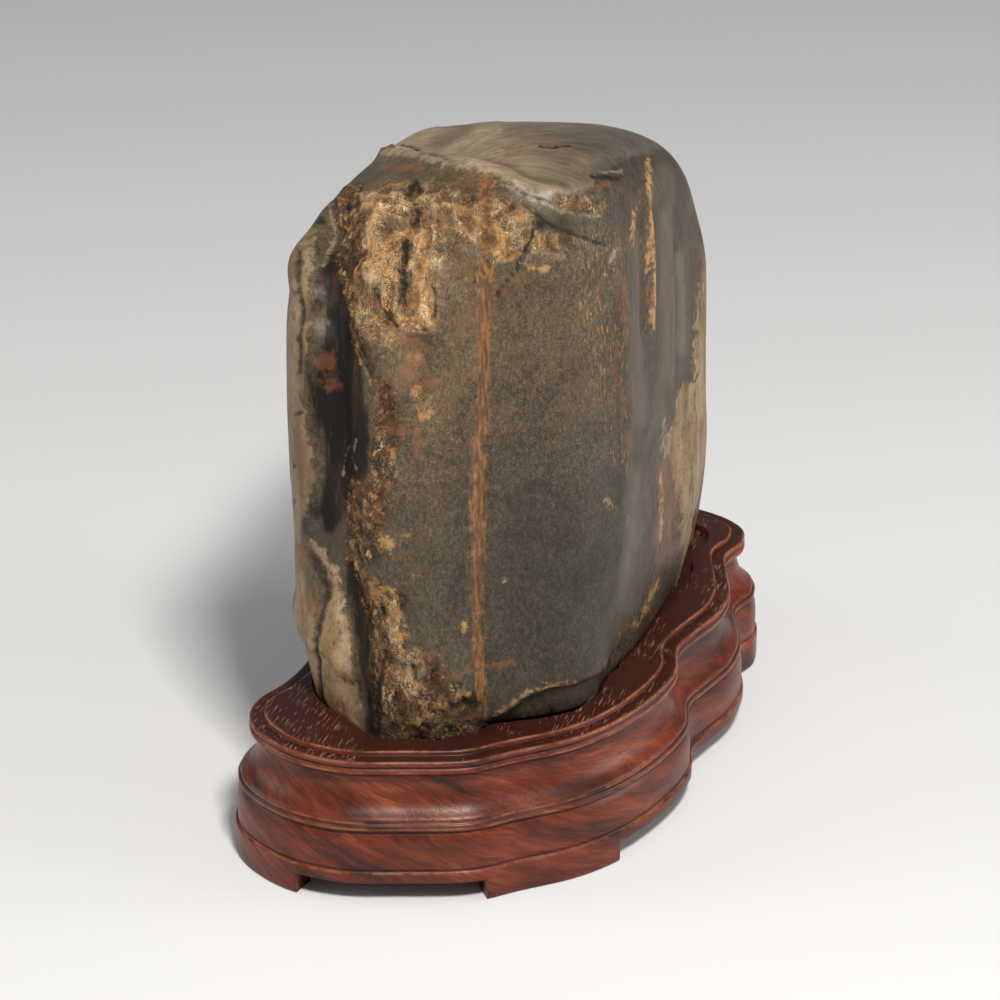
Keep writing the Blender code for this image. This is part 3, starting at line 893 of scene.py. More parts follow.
# %% Make the stone's mesh
for vert, co in zip(net.verts, point + normal * (large + small)[:, None]):
    vert.co = co
layers = {name: net.verts.layers.float.new(name) for name in skin}
for vert, *shares in zip(net.verts, *skin.values()):
    for layer, share in zip(layers.values(), shares):
        vert[layer] = share
everything = net.verts[:] + net.edges[:] + net.faces[:]
sawn = bmesh.ops.bisect_plane(net, geom=everything, plane_co=(0, 0, STONE_BOTTOM), plane_no=(0, 0, -1),
                              clear_outer=True)
rim = [item for item in sawn["geom_cut"] if isinstance(item, bmesh.types.BMEdge)]
bmesh.ops.edgeloop_fill(net, edges=rim)


def make_piece(name, bm):
    """Turn a mesh drawn in millimetres into a smooth-shaded piece in metres."""
    for vert in bm.verts:
        vert.co = to_room(vert.co)
    bmesh.ops.recalc_face_normals(bm, faces=bm.faces)
    mesh = bpy.data.meshes.new(name)
    bm.to_mesh(mesh)
    bm.free()
    mesh.shade_smooth()
    made = bpy.data.objects.new(name, mesh)
    bpy.context.scene.collection.objects.link(made)
    mesh.calc_loop_triangles()
    print(name, "has", len(mesh.loop_triangles), "triangles")
    return made


FOOT_BAND = 1.5
foot_ring = np.array([vert.co[:] for vert in net.verts if vert.co.z < PLATE_HEIGHT + FOOT_BAND])
stone = make_piece("worked_stone", net)
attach(stone, "root")
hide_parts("stone")

# %% [markdown]
# ## Helpers for materials
# A material is a small network of nodes. Drawing one by hand in the editor is
# fine for learning, but here each node is one line of code, so that a line
# reads like a step of a recipe. `add` places a node and fills its inputs. The
# others are the few steps that both skins need again and again. `ragged` gives
# a drawn patch a natural edge, and keeps marks from showing where none is drawn.

# %% Node helpers
RAGGED_DETAIL = 6.0
RAGGED_ROUGHNESS = 0.68
RAGGED_GATE = 0.15


def add(tree, kind, inputs, **settings):
    """Add a node, with its settings, and fill its inputs with values or links."""
    made = tree.nodes.new(kind)
    for key, value in settings.items():
        setattr(made, key, value)
    for key, value in inputs.items():
        if isinstance(value, bpy.types.NodeSocket):
            tree.links.new(value, made.inputs[key])
        else:
            made.inputs[key].default_value = value
    return made


def in_millimetres(tree, stretch, shift=(0, 0, 0)):
    """The place on the object in millimetres, stretched and shifted."""
    here = add(tree, "ShaderNodeTexCoord", {}).outputs["Object"]
    inputs = {0: here, 1: [part * 1000 for part in stretch], 2: shift}
    return add(tree, "ShaderNodeVectorMath", inputs, operation="MULTIPLY_ADD").outputs[0]


def noise(tree, where, size, detail=3.0, roughness=0.55, bend=0.0):
    """Cloudy noise about one size across, between 0 and 1."""
    inputs = {"Vector": where, "Scale": 1 / size, "Detail": detail, "Roughness": roughness,
              "Distortion": bend}
    return add(tree, "ShaderNodeTexNoise", inputs).outputs["Fac"]


def sums(tree, operation, first, second):
    """One arithmetic step."""
    return add(tree, "ShaderNodeMath", {0: first, 1: second}, operation=operation).outputs[0]


def times(tree, first, second):
    """One value multiplied by another."""
    return sums(tree, "MULTIPLY", first, second)


def plus(tree, first, second):
    """One value added to another."""
    return sums(tree, "ADD", first, second)


def less(tree, first, second):
    """The second value taken from the first."""
    return sums(tree, "SUBTRACT", first, second)


def greater(tree, first, second):
    """The greater of two values."""
    return sums(tree, "MAXIMUM", first, second)


def step(tree, value, low, high, out_low=0.0, out_high=1.0):
    """A soft step of a value from low to high."""
    inputs = {"Value": value, "From Min": low, "From Max": high, "To Min": out_low, "To Max": out_high}
    return add(tree, "ShaderNodeMapRange", inputs, interpolation_type="SMOOTHSTEP").outputs[0]


def blend(tree, share, under, over):
    """One colour laid over another by a share."""
    made = add(tree, "ShaderNodeMix", {0: share, 6: under, 7: over}, data_type="RGBA")
    return made.outputs[2]


def lighten(tree, tone, factor):
    """A colour made lighter or darker by a factor."""
    plain = tone[:3] if isinstance(tone, tuple) else tone
    return add(tree, "ShaderNodeVectorMath", {0: plain, "Scale": factor}, operation="SCALE").outputs[0]


def stored(tree, name):
    """A value that is stored on the points of the mesh."""
    return add(tree, "ShaderNodeAttribute", {}, attribute_name=name).outputs["Fac"]


def ragged(tree, name, where, size, amount, sharp, trim=0.0):
    """A stored patch, trimmed a little, with its edge roughened by noise and made crisp again."""
    rough = noise(tree, where, size, RAGGED_DETAIL, RAGGED_ROUGHNESS)
    rough = times(tree, less(tree, rough, 0.5 + trim / amount), amount)
    share = step(tree, plus(tree, stored(tree, name), rough), 0.5 - sharp, 0.5 + sharp)
    return times(tree, share, step(tree, stored(tree, name), 0.0, RAGGED_GATE))


def web(tree, field, level, width):
    """Thin wandering lines, where a noise field passes through one level."""
    away = sums(tree, "ABSOLUTE", less(tree, field, level), 0.0)
    return step(tree, away, width, 0.2 * width)


def colour(red, green, blue):
    return (red, green, blue, 1.0)


# %% [markdown]
# ## The stone's skin
# The colours go on in layers, from the widest to the narrowest. First comes the
# grey of the face, warm or cool by its wash, with stains and fine grains. Then
# come the slate strips with their painted reflection, the golden flecks, the
# worn top with its painted sheen, the dark flank, the tan rind, the chips and
# the golden crust, and last the vein, the rust, the ochre, the cracks and the
# pale crests, painted as sheen. Every patch is the stored slope with a ragged
# edge.

# %% Choose the stone's colours
WARM_STONE = colour(0.098, 0.066, 0.034)
COOL_STONE = colour(0.040, 0.035, 0.024)
STONE_STAIN = colour(0.150, 0.086, 0.040)
GRAIN_PALE = colour(0.30, 0.230, 0.130)
SLATE = colour(0.050, 0.038, 0.023)
TOP_WARM_AND_SHEEN = colour(0.270, 0.200, 0.126)
TOP_COOL = colour(0.055, 0.048, 0.040)
FLANK = colour(0.011, 0.010, 0.008)
FLANK_BROWN = colour(0.042, 0.022, 0.012)
TAN = colour(0.160, 0.102, 0.048)
TAN_LIGHT = colour(0.275, 0.200, 0.118)
TAN_STAIN = colour(0.070, 0.034, 0.015)
CHIP_DARK = colour(0.018, 0.019, 0.015)
CHIP_BROWN = colour(0.085, 0.047, 0.022)
GOLD = colour(0.50, 0.235, 0.075)
GOLD_PALE = colour(0.50, 0.350, 0.190)
GOLD_BROWN = colour(0.13, 0.068, 0.030)
GREEN_GREY = colour(0.115, 0.104, 0.072)
STRAW_AND_HIGHLIGHT = colour(0.78, 0.55, 0.30)
RUST = colour(0.21, 0.078, 0.030)
OCHRE = colour(0.48, 0.265, 0.100)
VEIN_DARK = colour(0.13, 0.055, 0.022)
VEIN_PALE = colour(0.42, 0.195, 0.070)
PALE_AND_SHEEN = colour(0.36, 0.30, 0.215)
CRACK_BLACK = colour(0.008, 0.007, 0.006)

skin_material = bpy.data.materials.new("river worn stone")
skin_material.use_nodes = True
tree = skin_material.node_tree
shader = tree.nodes["Principled BSDF"]
here = in_millimetres(tree, (1, 1, 1))
upright = in_millimetres(tree, (1, 1, 0.18), (40, 10, 5))
print("the stone has its own material:", skin_material.name)

# %% [markdown]
# ### The face, the slate strips and the top
# The face is nearly one grey, so its life comes from three sizes of change:
# broad clouds, small mottling, and a weave of grains about a millimetre across,
# with brown stains where the wash is warm. The slate has fine upright ribs, and
# a pale band of painted reflection along its shine lines. The top was rubbed by
# other stones, which left fine streaks that run across it. Its warm tone is
# lighter than the face partly as painted sheen.

# %% Paint the face, the strips and the top
body = blend(tree, stored(tree, "warm"), COOL_STONE, WARM_STONE)
clouds = noise(tree, here, 16.0, 5.0, 0.65)
mottle = plus(tree, step(tree, clouds, 0.3, 0.7, 0.72, 1.28),
              step(tree, noise(tree, here, 2.6, 5.0, 0.75), 0.3, 0.7, -0.28, 0.28))
body = lighten(tree, body, mottle)
grain = noise(tree, here, 0.85, 3.0, 0.75)
woven = noise(tree, in_millimetres(tree, (1.0, 1.0, 0.5), (2, 8, 4)), 1.3, 3.0, 0.7)
body = lighten(tree, body, step(tree, grain, 0.34, 0.66, 0.62, 1.4))
body = lighten(tree, body, step(tree, woven, 0.34, 0.66, 0.72, 1.3))
grain_cut = step(tree, stored(tree, "grains"), 0.0, 1.0, 0.70, 0.54)
pale_grains = step(tree, less(tree, grain, grain_cut), 0.0, 0.14, 0.0, 0.3)
blotches = noise(tree, in_millimetres(tree, (1, 1, 0.5), (9, 9, 1)), 9.0, 6.0, 0.72, 0.6)
stains = step(tree, blotches, 0.47, 0.66)
stains = times(tree, stains, step(tree, stored(tree, "warm"), 0.35, 1.0, 0.05, 0.7))
body = blend(tree, stains, body, STONE_STAIN)
body = blend(tree, pale_grains, body, GRAIN_PALE)
slate_share = ragged(tree, "slate", upright, 7.0, 2.0, 0.35)
ribs = noise(tree, in_millimetres(tree, (1, 1, 0.05), (6, 2, 8)), 1.6, 5.0, 0.7)
slate_tone = lighten(tree, SLATE, step(tree, noise(tree, upright, 4.0, 5.0, 0.6), 0.3, 0.7, 0.75, 1.3))
slate_tone = lighten(tree, slate_tone, step(tree, ribs, 0.34, 0.66, 0.7, 1.35))
# Painted reflection: a pale band laid on the slate along the shine lines.
slate_tone = blend(tree, times(tree, stored(tree, "shine"), 0.22), slate_tone, PALE_AND_SHEEN)
body = blend(tree, times(tree, slate_share, 0.75), body, slate_tone)
flecked = step(tree, noise(tree, in_millimetres(tree, (1, 1, 0.28), (4, 4, 4)), 1.1, 4.0, 0.7), 0.53, 0.63)
flecked = times(tree, flecked, ragged(tree, "flecks", here, 6.0, 2.4, 0.45))
body = blend(tree, times(tree, flecked, 0.7), body, GOLD)
top_share = ragged(tree, "top", here, 6.0, 1.8, 0.3)
level = in_millimetres(tree, (0.12, 1.2, 1.0), (7, 3, 1))
# The top's warm tone is lighter than the face partly as painted sheen.
top_tone = blend(tree, stored(tree, "warm"), TOP_COOL, TOP_WARM_AND_SHEEN)
top_tone = lighten(tree, top_tone, step(tree, noise(tree, level, 2.4, 6.0, 0.7), 0.3, 0.7, 0.72, 1.32))
top_tone = lighten(tree, top_tone, step(tree, noise(tree, here, 20.0, 5.0, 0.6), 0.3, 0.7, 0.8, 1.2))
body = blend(tree, top_share, body, top_tone)
print("nodes so far:", len(tree.nodes))

# %% [markdown]
# ### The dark flank and the tan rind
# The flank is a smooth break, almost black, with brown where iron has come
# through. The rind is the stone's old outside, pale tan with upright streaks
# and brown spots. Both have ragged but crisp borders.

# %% Paint the flank and the rind
dark_share = ragged(tree, "dark", upright, 9.0, 2.2, 0.25)
flank_tone = blend(tree, step(tree, noise(tree, upright, 7.0, 6.0, 0.65), 0.48, 0.66), FLANK, FLANK_BROWN)
green_spots = step(tree, noise(tree, upright, 2.6, 4.0, 0.6), 0.60, 0.76, 0.0, 0.4)
flank_tone = blend(tree, green_spots, flank_tone, GREEN_GREY)
body = blend(tree, dark_share, body, flank_tone)
tan_share = ragged(tree, "tan", here, 5.0, 1.6, 0.12, 0.08)
tan_tone = blend(tree, step(tree, noise(tree, upright, 7.0, 5.0, 0.6), 0.35, 0.65), TAN, TAN_LIGHT)
tan_tone = lighten(tree, tan_tone, step(tree, noise(tree, here, 2.0, 5.0, 0.75), 0.3, 0.7, 0.78, 1.2))
patchy = noise(tree, in_millimetres(tree, (1, 1, 0.35), (1, 7, 3)), 5.0, 6.0, 0.75)
tan_tone = blend(tree, step(tree, patchy, 0.53, 0.62, 0.0, 0.75), tan_tone, TAN_STAIN)
body = blend(tree, tan_share, body, tan_tone)
print("nodes so far:", len(tree.nodes))

# %% [markdown]
# ### The chips and the crust
# Each chip is one cell of a crooked, upright honeycomb with a tone of its own,
# so neighbouring chips differ sharply, as flakes do. The crust is wrinkled in
# nested lines, like the lines of a map. Where a slow, twisted noise passes
# through one level it gives a thin line, and the next level gives a line beside
# it. One is painted as a straw-coloured crest, partly the crust's own colour and
# partly a painted highlight, the other as a dark furrow, partly painted shade.
# On the chips the same crests are painted ochre.

# %% Paint the chips and the crust
shake = add(tree, "ShaderNodeTexNoise", {"Vector": here, "Scale": 0.4, "Detail": 3.0}).outputs["Color"]
shaken = add(tree, "ShaderNodeVectorMath", {0: shake, 1: (4, 4, 4), 2: here}, operation="MULTIPLY_ADD")
flake_at = add(tree, "ShaderNodeVectorMath", {0: shaken.outputs[0], 1: (1.0, 1.0, 0.55)},
               operation="MULTIPLY").outputs[0]
flakes = add(tree, "ShaderNodeTexVoronoi", {"Vector": flake_at, "Scale": 0.62}, feature="F1")
flake_tone = add(tree, "ShaderNodeSeparateColor", {0: flakes.outputs["Color"]}).outputs[0]
chip_share = ragged(tree, "chips", here, 4.0, 2.4, 0.25)
chip_tone = blend(tree, step(tree, noise(tree, here, 5.0, 6.0, 0.75, 0.8), 0.44, 0.58), CHIP_DARK, CHIP_BROWN)
chip_tone = blend(tree, step(tree, flake_tone, 0.62, 0.72), chip_tone, RUST)
chip_tone = blend(tree, step(tree, flake_tone, 0.80, 0.86), chip_tone, OCHRE)
chip_tone = blend(tree, step(tree, flake_tone, 0.93, 0.96, 0.0, 0.8), chip_tone, PALE_AND_SHEEN)
chip_shade = step(tree, noise(tree, here, 6.0, 5.0, 0.7), 0.50, 0.60, 0.0, 0.75)
chip_tone = blend(tree, chip_shade, chip_tone, CHIP_DARK)
long_field = noise(tree, in_millimetres(tree, (1.5, 1.5, 0.6), (3, 5, 2)), 7.0, 2.0, 0.5, 2.4)
fine_field = noise(tree, in_millimetres(tree, (1.2, 1.2, 0.8), (6, 1, 9)), 3.8, 2.0, 0.5, 2.6)
crests = greater(tree, web(tree, long_field, 0.50, 0.026), web(tree, fine_field, 0.52, 0.032))
crests = greater(tree, crests, web(tree, long_field, 0.60, 0.024))
furrows = greater(tree, web(tree, long_field, 0.55, 0.030), web(tree, fine_field, 0.585, 0.036))
furrows = greater(tree, furrows, web(tree, long_field, 0.44, 0.030))
crowded = step(tree, noise(tree, here, 10.0, 3.0, 0.6), 0.40, 0.56, 0.25, 1.0)
gold_share = ragged(tree, "gold", here, 6.0, 2.6, 0.35)
gold_tone = blend(tree, step(tree, noise(tree, here, 9.0, 5.0, 0.65, 0.6), 0.42, 0.58), GOLD, GOLD_PALE)
gold_tone = blend(tree, step(tree, noise(tree, here, 7.0, 6.0, 0.75, 0.8), 0.52, 0.62), gold_tone, GREEN_GREY)
brown_runs = step(tree, noise(tree, upright, 4.0, 6.0, 0.75, 1.2), 0.53, 0.66, 0.0, 0.8)
gold_tone = blend(tree, brown_runs, gold_tone, GOLD_BROWN)
gold_tone = blend(tree, step(tree, noise(tree, here, 2.2, 6.0, 0.8, 2.0), 0.61, 0.69), gold_tone, CHIP_DARK)
# Dark furrows are partly painted shade; the straw crests, and the ochre crests on the chips, are partly a
# painted highlight.
gold_tone = blend(tree, times(tree, furrows, crowded), gold_tone, CHIP_BROWN)
gold_tone = blend(tree, times(tree, times(tree, crests, crowded), 0.75), gold_tone, STRAW_AND_HIGHLIGHT)
chip_tone = blend(tree, times(tree, times(tree, crests, crowded), 0.7), chip_tone, OCHRE)
body = blend(tree, chip_share, body, chip_tone)
body = blend(tree, gold_share, body, gold_tone)
print("nodes so far:", len(tree.nodes))

# %% [markdown]
# ### The vein and all the thin marks
# The vein is iron-stained quartz with fine upright stripes. The rust, ochre,
# crack and crest marks were drawn as plain lines, so they are broken up hard by
# a small noise before they are painted; the crest marks are painted sheen. Last,
# the washes, partly painted light and shade, and the painted shade of the
# hollows make everything lighter or darker at once.

# %% Paint the vein and the thin marks
vein_share = ragged(tree, "vein", here, 4.0, 2.0, 0.35)
striped = in_millimetres(tree, (1.0, 1.0, 0.13), (1, 2, 3))
vein_tone = blend(tree, step(tree, noise(tree, striped, 1.3, 5.0, 0.75), 0.38, 0.62), VEIN_DARK, VEIN_PALE)
vein_spots = step(tree, noise(tree, here, 5.0, 6.0, 0.75), 0.50, 0.66, 0.0, 0.8)
vein_tone = blend(tree, vein_spots, vein_tone, GOLD_BROWN)
body = blend(tree, times(tree, vein_share, 0.85), body, vein_tone)
# The pale lines are painted sheen along the crests of ridges; the pale colour is also used for pale flakes.
for name, size, breaking, trim, strength, tone in (
        ("rust", 4.0, 3.6, 0.05, 0.5, RUST), ("ochre", 3.0, 4.5, 0.15, 0.75, OCHRE),
        ("crack", 4.0, 3.4, 0.15, 0.85, CRACK_BLACK), ("pale", 4.0, 4.5, 0.25, 0.5, PALE_AND_SHEEN)):
    share = ragged(tree, name, here, size, breaking, 0.4, trim)
    body = blend(tree, times(tree, share, strength), body, tone)
# Painted light and shade: the light wash lightens or darkens everything, beside the stone's own tone.
body = lighten(tree, body, stored(tree, "light"))
# Painted shade in the hollows, and raised places painted lighter.
body = lighten(tree, body, step(tree, stored(tree, "hollow"), 0.2, 0.9, 1.2, 0.5))
tree.links.new(body, shader.inputs["Base Color"])
print("nodes so far:", len(tree.nodes))

# %% [markdown]
# ### Gloss and the finest relief
# The worn top and the slate are glossed a little more than the rind, and the
# flank least of all. Relief too fine for the mesh is left to a bump: the grain
# of the face, the ribs of the slate, the crumpled surface of the crust, and the
# map lines of its folds.

# %% Set the gloss and the bump
gloss = step(tree, noise(tree, here, 12.0, 5.0, 0.65), 0.3, 0.7, 0.40, 0.56)
for share, change in ((dark_share, 0.08), (tan_share, 0.08), (slate_share, -0.02), (top_share, -0.08)):
    gloss = plus(tree, gloss, times(tree, share, change))
tree.links.new(gloss, shader.inputs["Roughness"])
shine = less(tree, 0.35, times(tree, dark_share, 0.2))
tree.links.new(shine, shader.inputs["Specular IOR Level"])
crumple = times(tree, noise(tree, here, 2.6, 6.0, 0.75, 1.5), greater(tree, gold_share, chip_share))
height = plus(tree, times(tree, grain, 0.12), times(tree, noise(tree, here, 2.2, 4.0, 0.6), 0.25))
height = plus(tree, height, times(tree, crumple, 1.4))
height = plus(tree, height, times(tree, times(tree, ribs, slate_share), 0.5))
height = plus(tree, height, times(tree, flecked, 0.4))
fold_height = times(tree, less(tree, crests, furrows), greater(tree, gold_share, chip_share))
height = plus(tree, height, times(tree, times(tree, fold_height, crowded), 1.3))
height = plus(tree, height, times(tree, times(tree, flake_tone, chip_share), 0.6))
raised = add(tree, "ShaderNodeBump", {"Strength": 0.8, "Distance": 0.0007, "Height": height})
tree.links.new(raised.outputs[0], shader.inputs["Normal"])
stone.data.materials.append(skin_material)
print("the stone's skin has", len(tree.nodes), "nodes")

# %% [markdown]
# ## The stand's moulding
# A carver shapes such a stand by running the same section round the whole
# outline: a skirt, a full body, a thin lip, a deep hollow and a rim, with the
# plate one step above it. The section is a list of how far in and how high, and
# a smooth curve through it gives the rounded look of wood that was scraped and
# waxed. Some places on it are marked as crests, and some as quirks, which are
# sharp inner corners. Both marks are stored on the mesh. Crests are painted
# pale, partly as wear from hands and partly as a painted highlight along the
# arris. Quirks are painted dark, as painted shade. Sweeping the section round
# the outline is the whole moulding.

# %% Sweep the moulding round the outline
MOULDING = [
    (0.9, 0.0), (0.2, 0.7), (0.0, 2.0), (0.0, 8.0), (0.0, 13.4), (0.25, 14.2), (1.1, 14.7),
    (1.35, 15.4), (1.1, 16.6), (1.0, 22.0), (1.15, 26.0), (1.7, 29.4), (2.7, 31.6), (3.3, 32.5),
    (3.1, 33.1), (2.3, 33.5), (1.8, 34.3), (1.7, 35.4), (2.1, 36.4), (2.9, 36.9), (3.0, 37.4),
    (2.9, 37.9), (3.6, 38.9), (5.4, 40.2), (7.4, 42.2), (9.2, 45.2), (10.3, 48.6), (10.8, 52.0),
    (10.6, 54.6), (9.9, 55.8), (9.2, 56.1), (8.9, 56.6), (8.5, 56.9), (7.7, 57.3), (7.2, 58.1),
    (7.3, 59.1), (7.9, 59.8), (8.1, 60.3), (7.7, 60.8), (7.4, 61.6), (7.4, 62.4), (7.8, 63.0),
    (8.6, 63.4), (10.4, 63.3), (12.6, 63.0), (13.2, 63.1), (13.4, 63.6), (13.6, 64.4), (14.1, 64.9),
    (15.2, PLATE_HEIGHT),
]
CRESTS = [(0.5, 14.5), (1.7, 34.8), (2.9, 37.3), (7.2, 58.4), (7.6, 62.8), (13.9, 64.8)]
QUIRKS = [(1.4, 15.6), (3.2, 32.8), (2.4, 36.5), (9.0, 56.4), (8.1, 60.3), (13.1, 63.0)]
CREST_REACH = 0.5
SWEEP_STEPS = 640
SECTION_STEPS = 2
DIRECTION_BLUR = 9
HOLLOW_INSET = 11.0
HOLLOW_HEIGHT = 14.5


def inward(curve):
    """Unit directions pointing into a closed curve, evened out along it."""
    along = np.roll(curve, -1, 0) - np.roll(curve, 1, 0)
    along = sum(np.roll(along, shift, 0) for shift in range(-DIRECTION_BLUR, DIRECTION_BLUR + 1))
    along /= np.linalg.norm(along, axis=1)[:, None]
    return np.column_stack([-along[:, 1], along[:, 0]])


def section_points(corner):
    """A smooth open curve through the section's points."""
    corner = np.array(corner, float)
    padded = np.vstack([corner[0], corner, corner[-1]])
    fine = []
    for before, here, after, beyond in zip(padded[:-3], padded[1:-2], padded[2:-1], padded[3:]):
        for t in np.arange(SECTION_STEPS) / SECTION_STEPS:
            fine.append(0.5 * (2 * here + (after - before) * t
                               + (2 * before - 5 * here + 4 * after - beyond) * t ** 2
                               + (3 * here - before - 3 * after + beyond) * t ** 3))
    return fine + [corner[-1]]


outline = outline_points(SWEEP_STEPS)
inner_way = inward(outline)


def swept_ring(bm, inset, height):
    """The outline moved in by an inset and lifted to a height."""
    return [bm.verts.new((x, y, height)) for x, y in outline + inner_way * inset]


def skin_between(bm, lower, upper):
    """A band of faces between two rings of the same number of points."""
    for number, vert in enumerate(lower):
        after = (number + 1) % len(lower)
        bm.faces.new((vert, lower[after], upper[after], upper[number]))


def nearness(mark, spots):
    """1 on any of the marked places of the section, fading to 0 around them."""
    away = np.hypot(*(np.array(spots) - mark).T).min()
    return math.exp(-(away / CREST_REACH) ** 2)


wood = bmesh.new()
# Crest mark: worn pale and partly a painted highlight; quirk mark: painted shade in the sharp inner corners.
crest_wear_and_glint, quirk_shade = wood.verts.layers.float.new("crest_wear_and_glint"), wood.verts.layers.float.new("quirk_shade")
rings = []
for mark in section_points(MOULDING):
    rings.append(swept_ring(wood, *mark))
    for vert in rings[-1]:
        vert[crest_wear_and_glint], vert[quirk_shade] = nearness(mark, CRESTS), nearness(mark, QUIRKS)
for lower, upper in zip(rings[:-1], rings[1:]):
    skin_between(wood, lower, upper)
floor_ring = swept_ring(wood, HOLLOW_INSET, 0.0)
roof_ring = swept_ring(wood, HOLLOW_INSET, HOLLOW_HEIGHT)
skin_between(wood, floor_ring, rings[0])
skin_between(wood, roof_ring, floor_ring)
wood.faces.new(list(reversed(roof_ring)))
print("the moulding has", len(rings), "rings of", SWEEP_STEPS, "points")

# %% [markdown]
# ## The socket
# The stone is not glued. It stands in a shallow socket that was scribed round
# its own foot, so every stand fits one stone only. The socket's outline is
# measured from the foot of the finished stone: the furthest point in each
# direction, evened out, with half a millimetre of room.

# %% Scribe the socket round the stone's foot
SOCKET_DEPTH = 3.3
SOCKET_ROOM = 0.5
SOCKET_LIP = 0.5
SOCKET_SECTORS = 180
SECTOR_REACH = math.radians(3)
SHARP_ANGLE = math.radians(40)
foot_middle = foot_ring[:, :2].mean(0)
foot_away = foot_ring[:, :2] - foot_middle
foot_turn = np.arctan2(foot_away[:, 1], foot_away[:, 0])
foot_reach = np.hypot(*foot_away.T)
sector_turn = np.linspace(-math.pi, math.pi, SOCKET_SECTORS, endpoint=False)
furthest = []
for turn in sector_turn:
    near = np.cos(foot_turn - turn) > math.cos(SECTOR_REACH)
    furthest.append(foot_reach[near].max())
furthest = np.array(furthest)


def socket_ring(bm, room, height):
    """The foot's outline, with some room, at the angles of the rim's points."""
    away = np.array([vert.co.xy for vert in rings[-1]]) - foot_middle
    turn = np.arctan2(away[:, 1], away[:, 0])
    reach = np.interp(turn, sector_turn, furthest, period=2 * math.pi) + room
    spots = foot_middle + np.column_stack([np.cos(turn), np.sin(turn)]) * reach[:, None]
    return [bm.verts.new((x, y, height)) for x, y in spots]


socket = [
    socket_ring(wood, SOCKET_ROOM + SOCKET_LIP, PLATE_HEIGHT),
    socket_ring(wood, SOCKET_ROOM, PLATE_HEIGHT - SOCKET_LIP),
    socket_ring(wood, SOCKET_ROOM, PLATE_HEIGHT - SOCKET_DEPTH),
]
for lower, upper in zip([rings[-1]] + socket[:-1], socket):
    skin_between(wood, lower, upper)
wood.faces.new(socket[-1])
print("the foot reaches", furthest.min().round(1), "to", furthest.max().round(1), "mm from its middle")
stand = make_piece("moulded_stand", wood)
stand.data.set_sharp_from_angle(angle=SHARP_ANGLE)
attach(stand, "root")
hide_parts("stand")

# %% [markdown]
# ## The feet
# The stand does not rest on its whole skirt. The skirt is cut away in four
# places, which leaves four wide, low feet that wrap round the outline. Each cut
# is a curved block that follows the outline, taken out of the stand by a
# Boolean modifier, as a saw and a file would do it.

# %% Cut the gaps between the feet
FOOT_HEIGHT = 10.0
FOOT_GAPS = [(0.062, 0.163), (0.240, 0.448), (0.560, 0.640), (0.735, 0.945)]
GAP_REACH = 6.0
GAP_STRIDE = 4


def gap_block(start, end):
    """A curved block that follows a stretch of the outline."""
    steps = np.arange(round(start * SWEEP_STEPS), round(end * SWEEP_STEPS) + 1, GAP_STRIDE)
    outer = (outline - inner_way * GAP_REACH)[steps]
    inner = (outline + inner_way * (HOLLOW_INSET + GAP_REACH))[steps]
    bm = bmesh.new()
    base = bm.faces.new([bm.verts.new((x, y, -GAP_REACH)) for x, y in np.vstack([outer, inner[::-1]])])
    raised = bmesh.ops.extrude_face_region(bm, geom=[base])
    top = [item for item in raised["geom"] if isinstance(item, bmesh.types.BMVert)]
    bmesh.ops.translate(bm, verts=top, vec=(0, 0, GAP_REACH + FOOT_HEIGHT))
    return bm


for number, (start, end) in enumerate(FOOT_GAPS, 1):
    block = make_piece(f"gap_block_{number}", gap_block(start, end))
    block.hide_render = True
    block.display_type = "WIRE"
    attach(block, "root")
    cut = stand.modifiers.new(block.name, "BOOLEAN")
    cut.operation = "DIFFERENCE"
    cut.solver = "EXACT"
    cut.object = block
print("cuts:", [modifier.name for modifier in stand.modifiers])

# %% [markdown]
# ## The rosewood
# Rosewood is dark red-brown with darker growth layers. The layers lie tilted in
# this board, so they show as straight lines on top and along the sides, and as
# slanted lines across the front, where the board's end is cut. One measure, how
# deep a place lies across the layers, drives the broad figure, the dark bands
# and the fine streaks, so they agree on every side. Pores run along the board
# as short dashes, pale where the plate's polish has filled them. Crests are worn
# pale, partly as a painted highlight along the arris. Quirks are painted dark as
# shade, and the plate, which faces up, is painted darker as shade too. Wax gives
# the whole a satin gloss.

# %% Mix the rosewood
wood_material = bpy.data.materials.new("waxed rosewood")
wood_material.use_nodes = True
tree = wood_material.node_tree
shader = tree.nodes["Principled BSDF"]
WOOD_RED = colour(0.138, 0.0235, 0.0095)
WOOD_BRIGHT = colour(0.255, 0.064, 0.023)
WOOD_DARK = colour(0.030, 0.0075, 0.0048)
WOOD_WORN_AND_GLINT = colour(0.33, 0.145, 0.075)
PORE_DARK = colour(0.015, 0.006, 0.005)
PORE_PALE = colour(0.40, 0.22, 0.15)
LAYER_TILT = math.radians(27)
layer = (math.sin(LAYER_TILT), 0.0, math.cos(LAYER_TILT))
along_board = in_millimetres(tree, (1, 0.10, 1))
wander = noise(tree, along_board, 26.0, 3.0)
straight = in_millimetres(tree, (1, 0.02, 1))
depth = add(tree, "ShaderNodeVectorMath", {0: straight, 1: layer}, operation="DOT_PRODUCT").outputs["Value"]
depth = plus(tree, depth, times(tree, wander, 9.0))
across_board = add(tree, "ShaderNodeSeparateXYZ", {0: along_board}).outputs
layers_at = add(tree, "ShaderNodeCombineXYZ", {0: depth}).outputs[0]
figure_at = add(tree, "ShaderNodeCombineXYZ",
                {0: depth, 1: across_board[1], 2: times(tree, across_board[0], 0.25)})
figure = noise(tree, figure_at.outputs[0], 9.0, 5.0, 0.6)
bands = noise(tree, layers_at, 3.2, 6.0, 0.72)
streak_at = add(tree, "ShaderNodeCombineXYZ",
                {0: depth, 1: across_board[1], 2: times(tree, across_board[0], 0.12)})
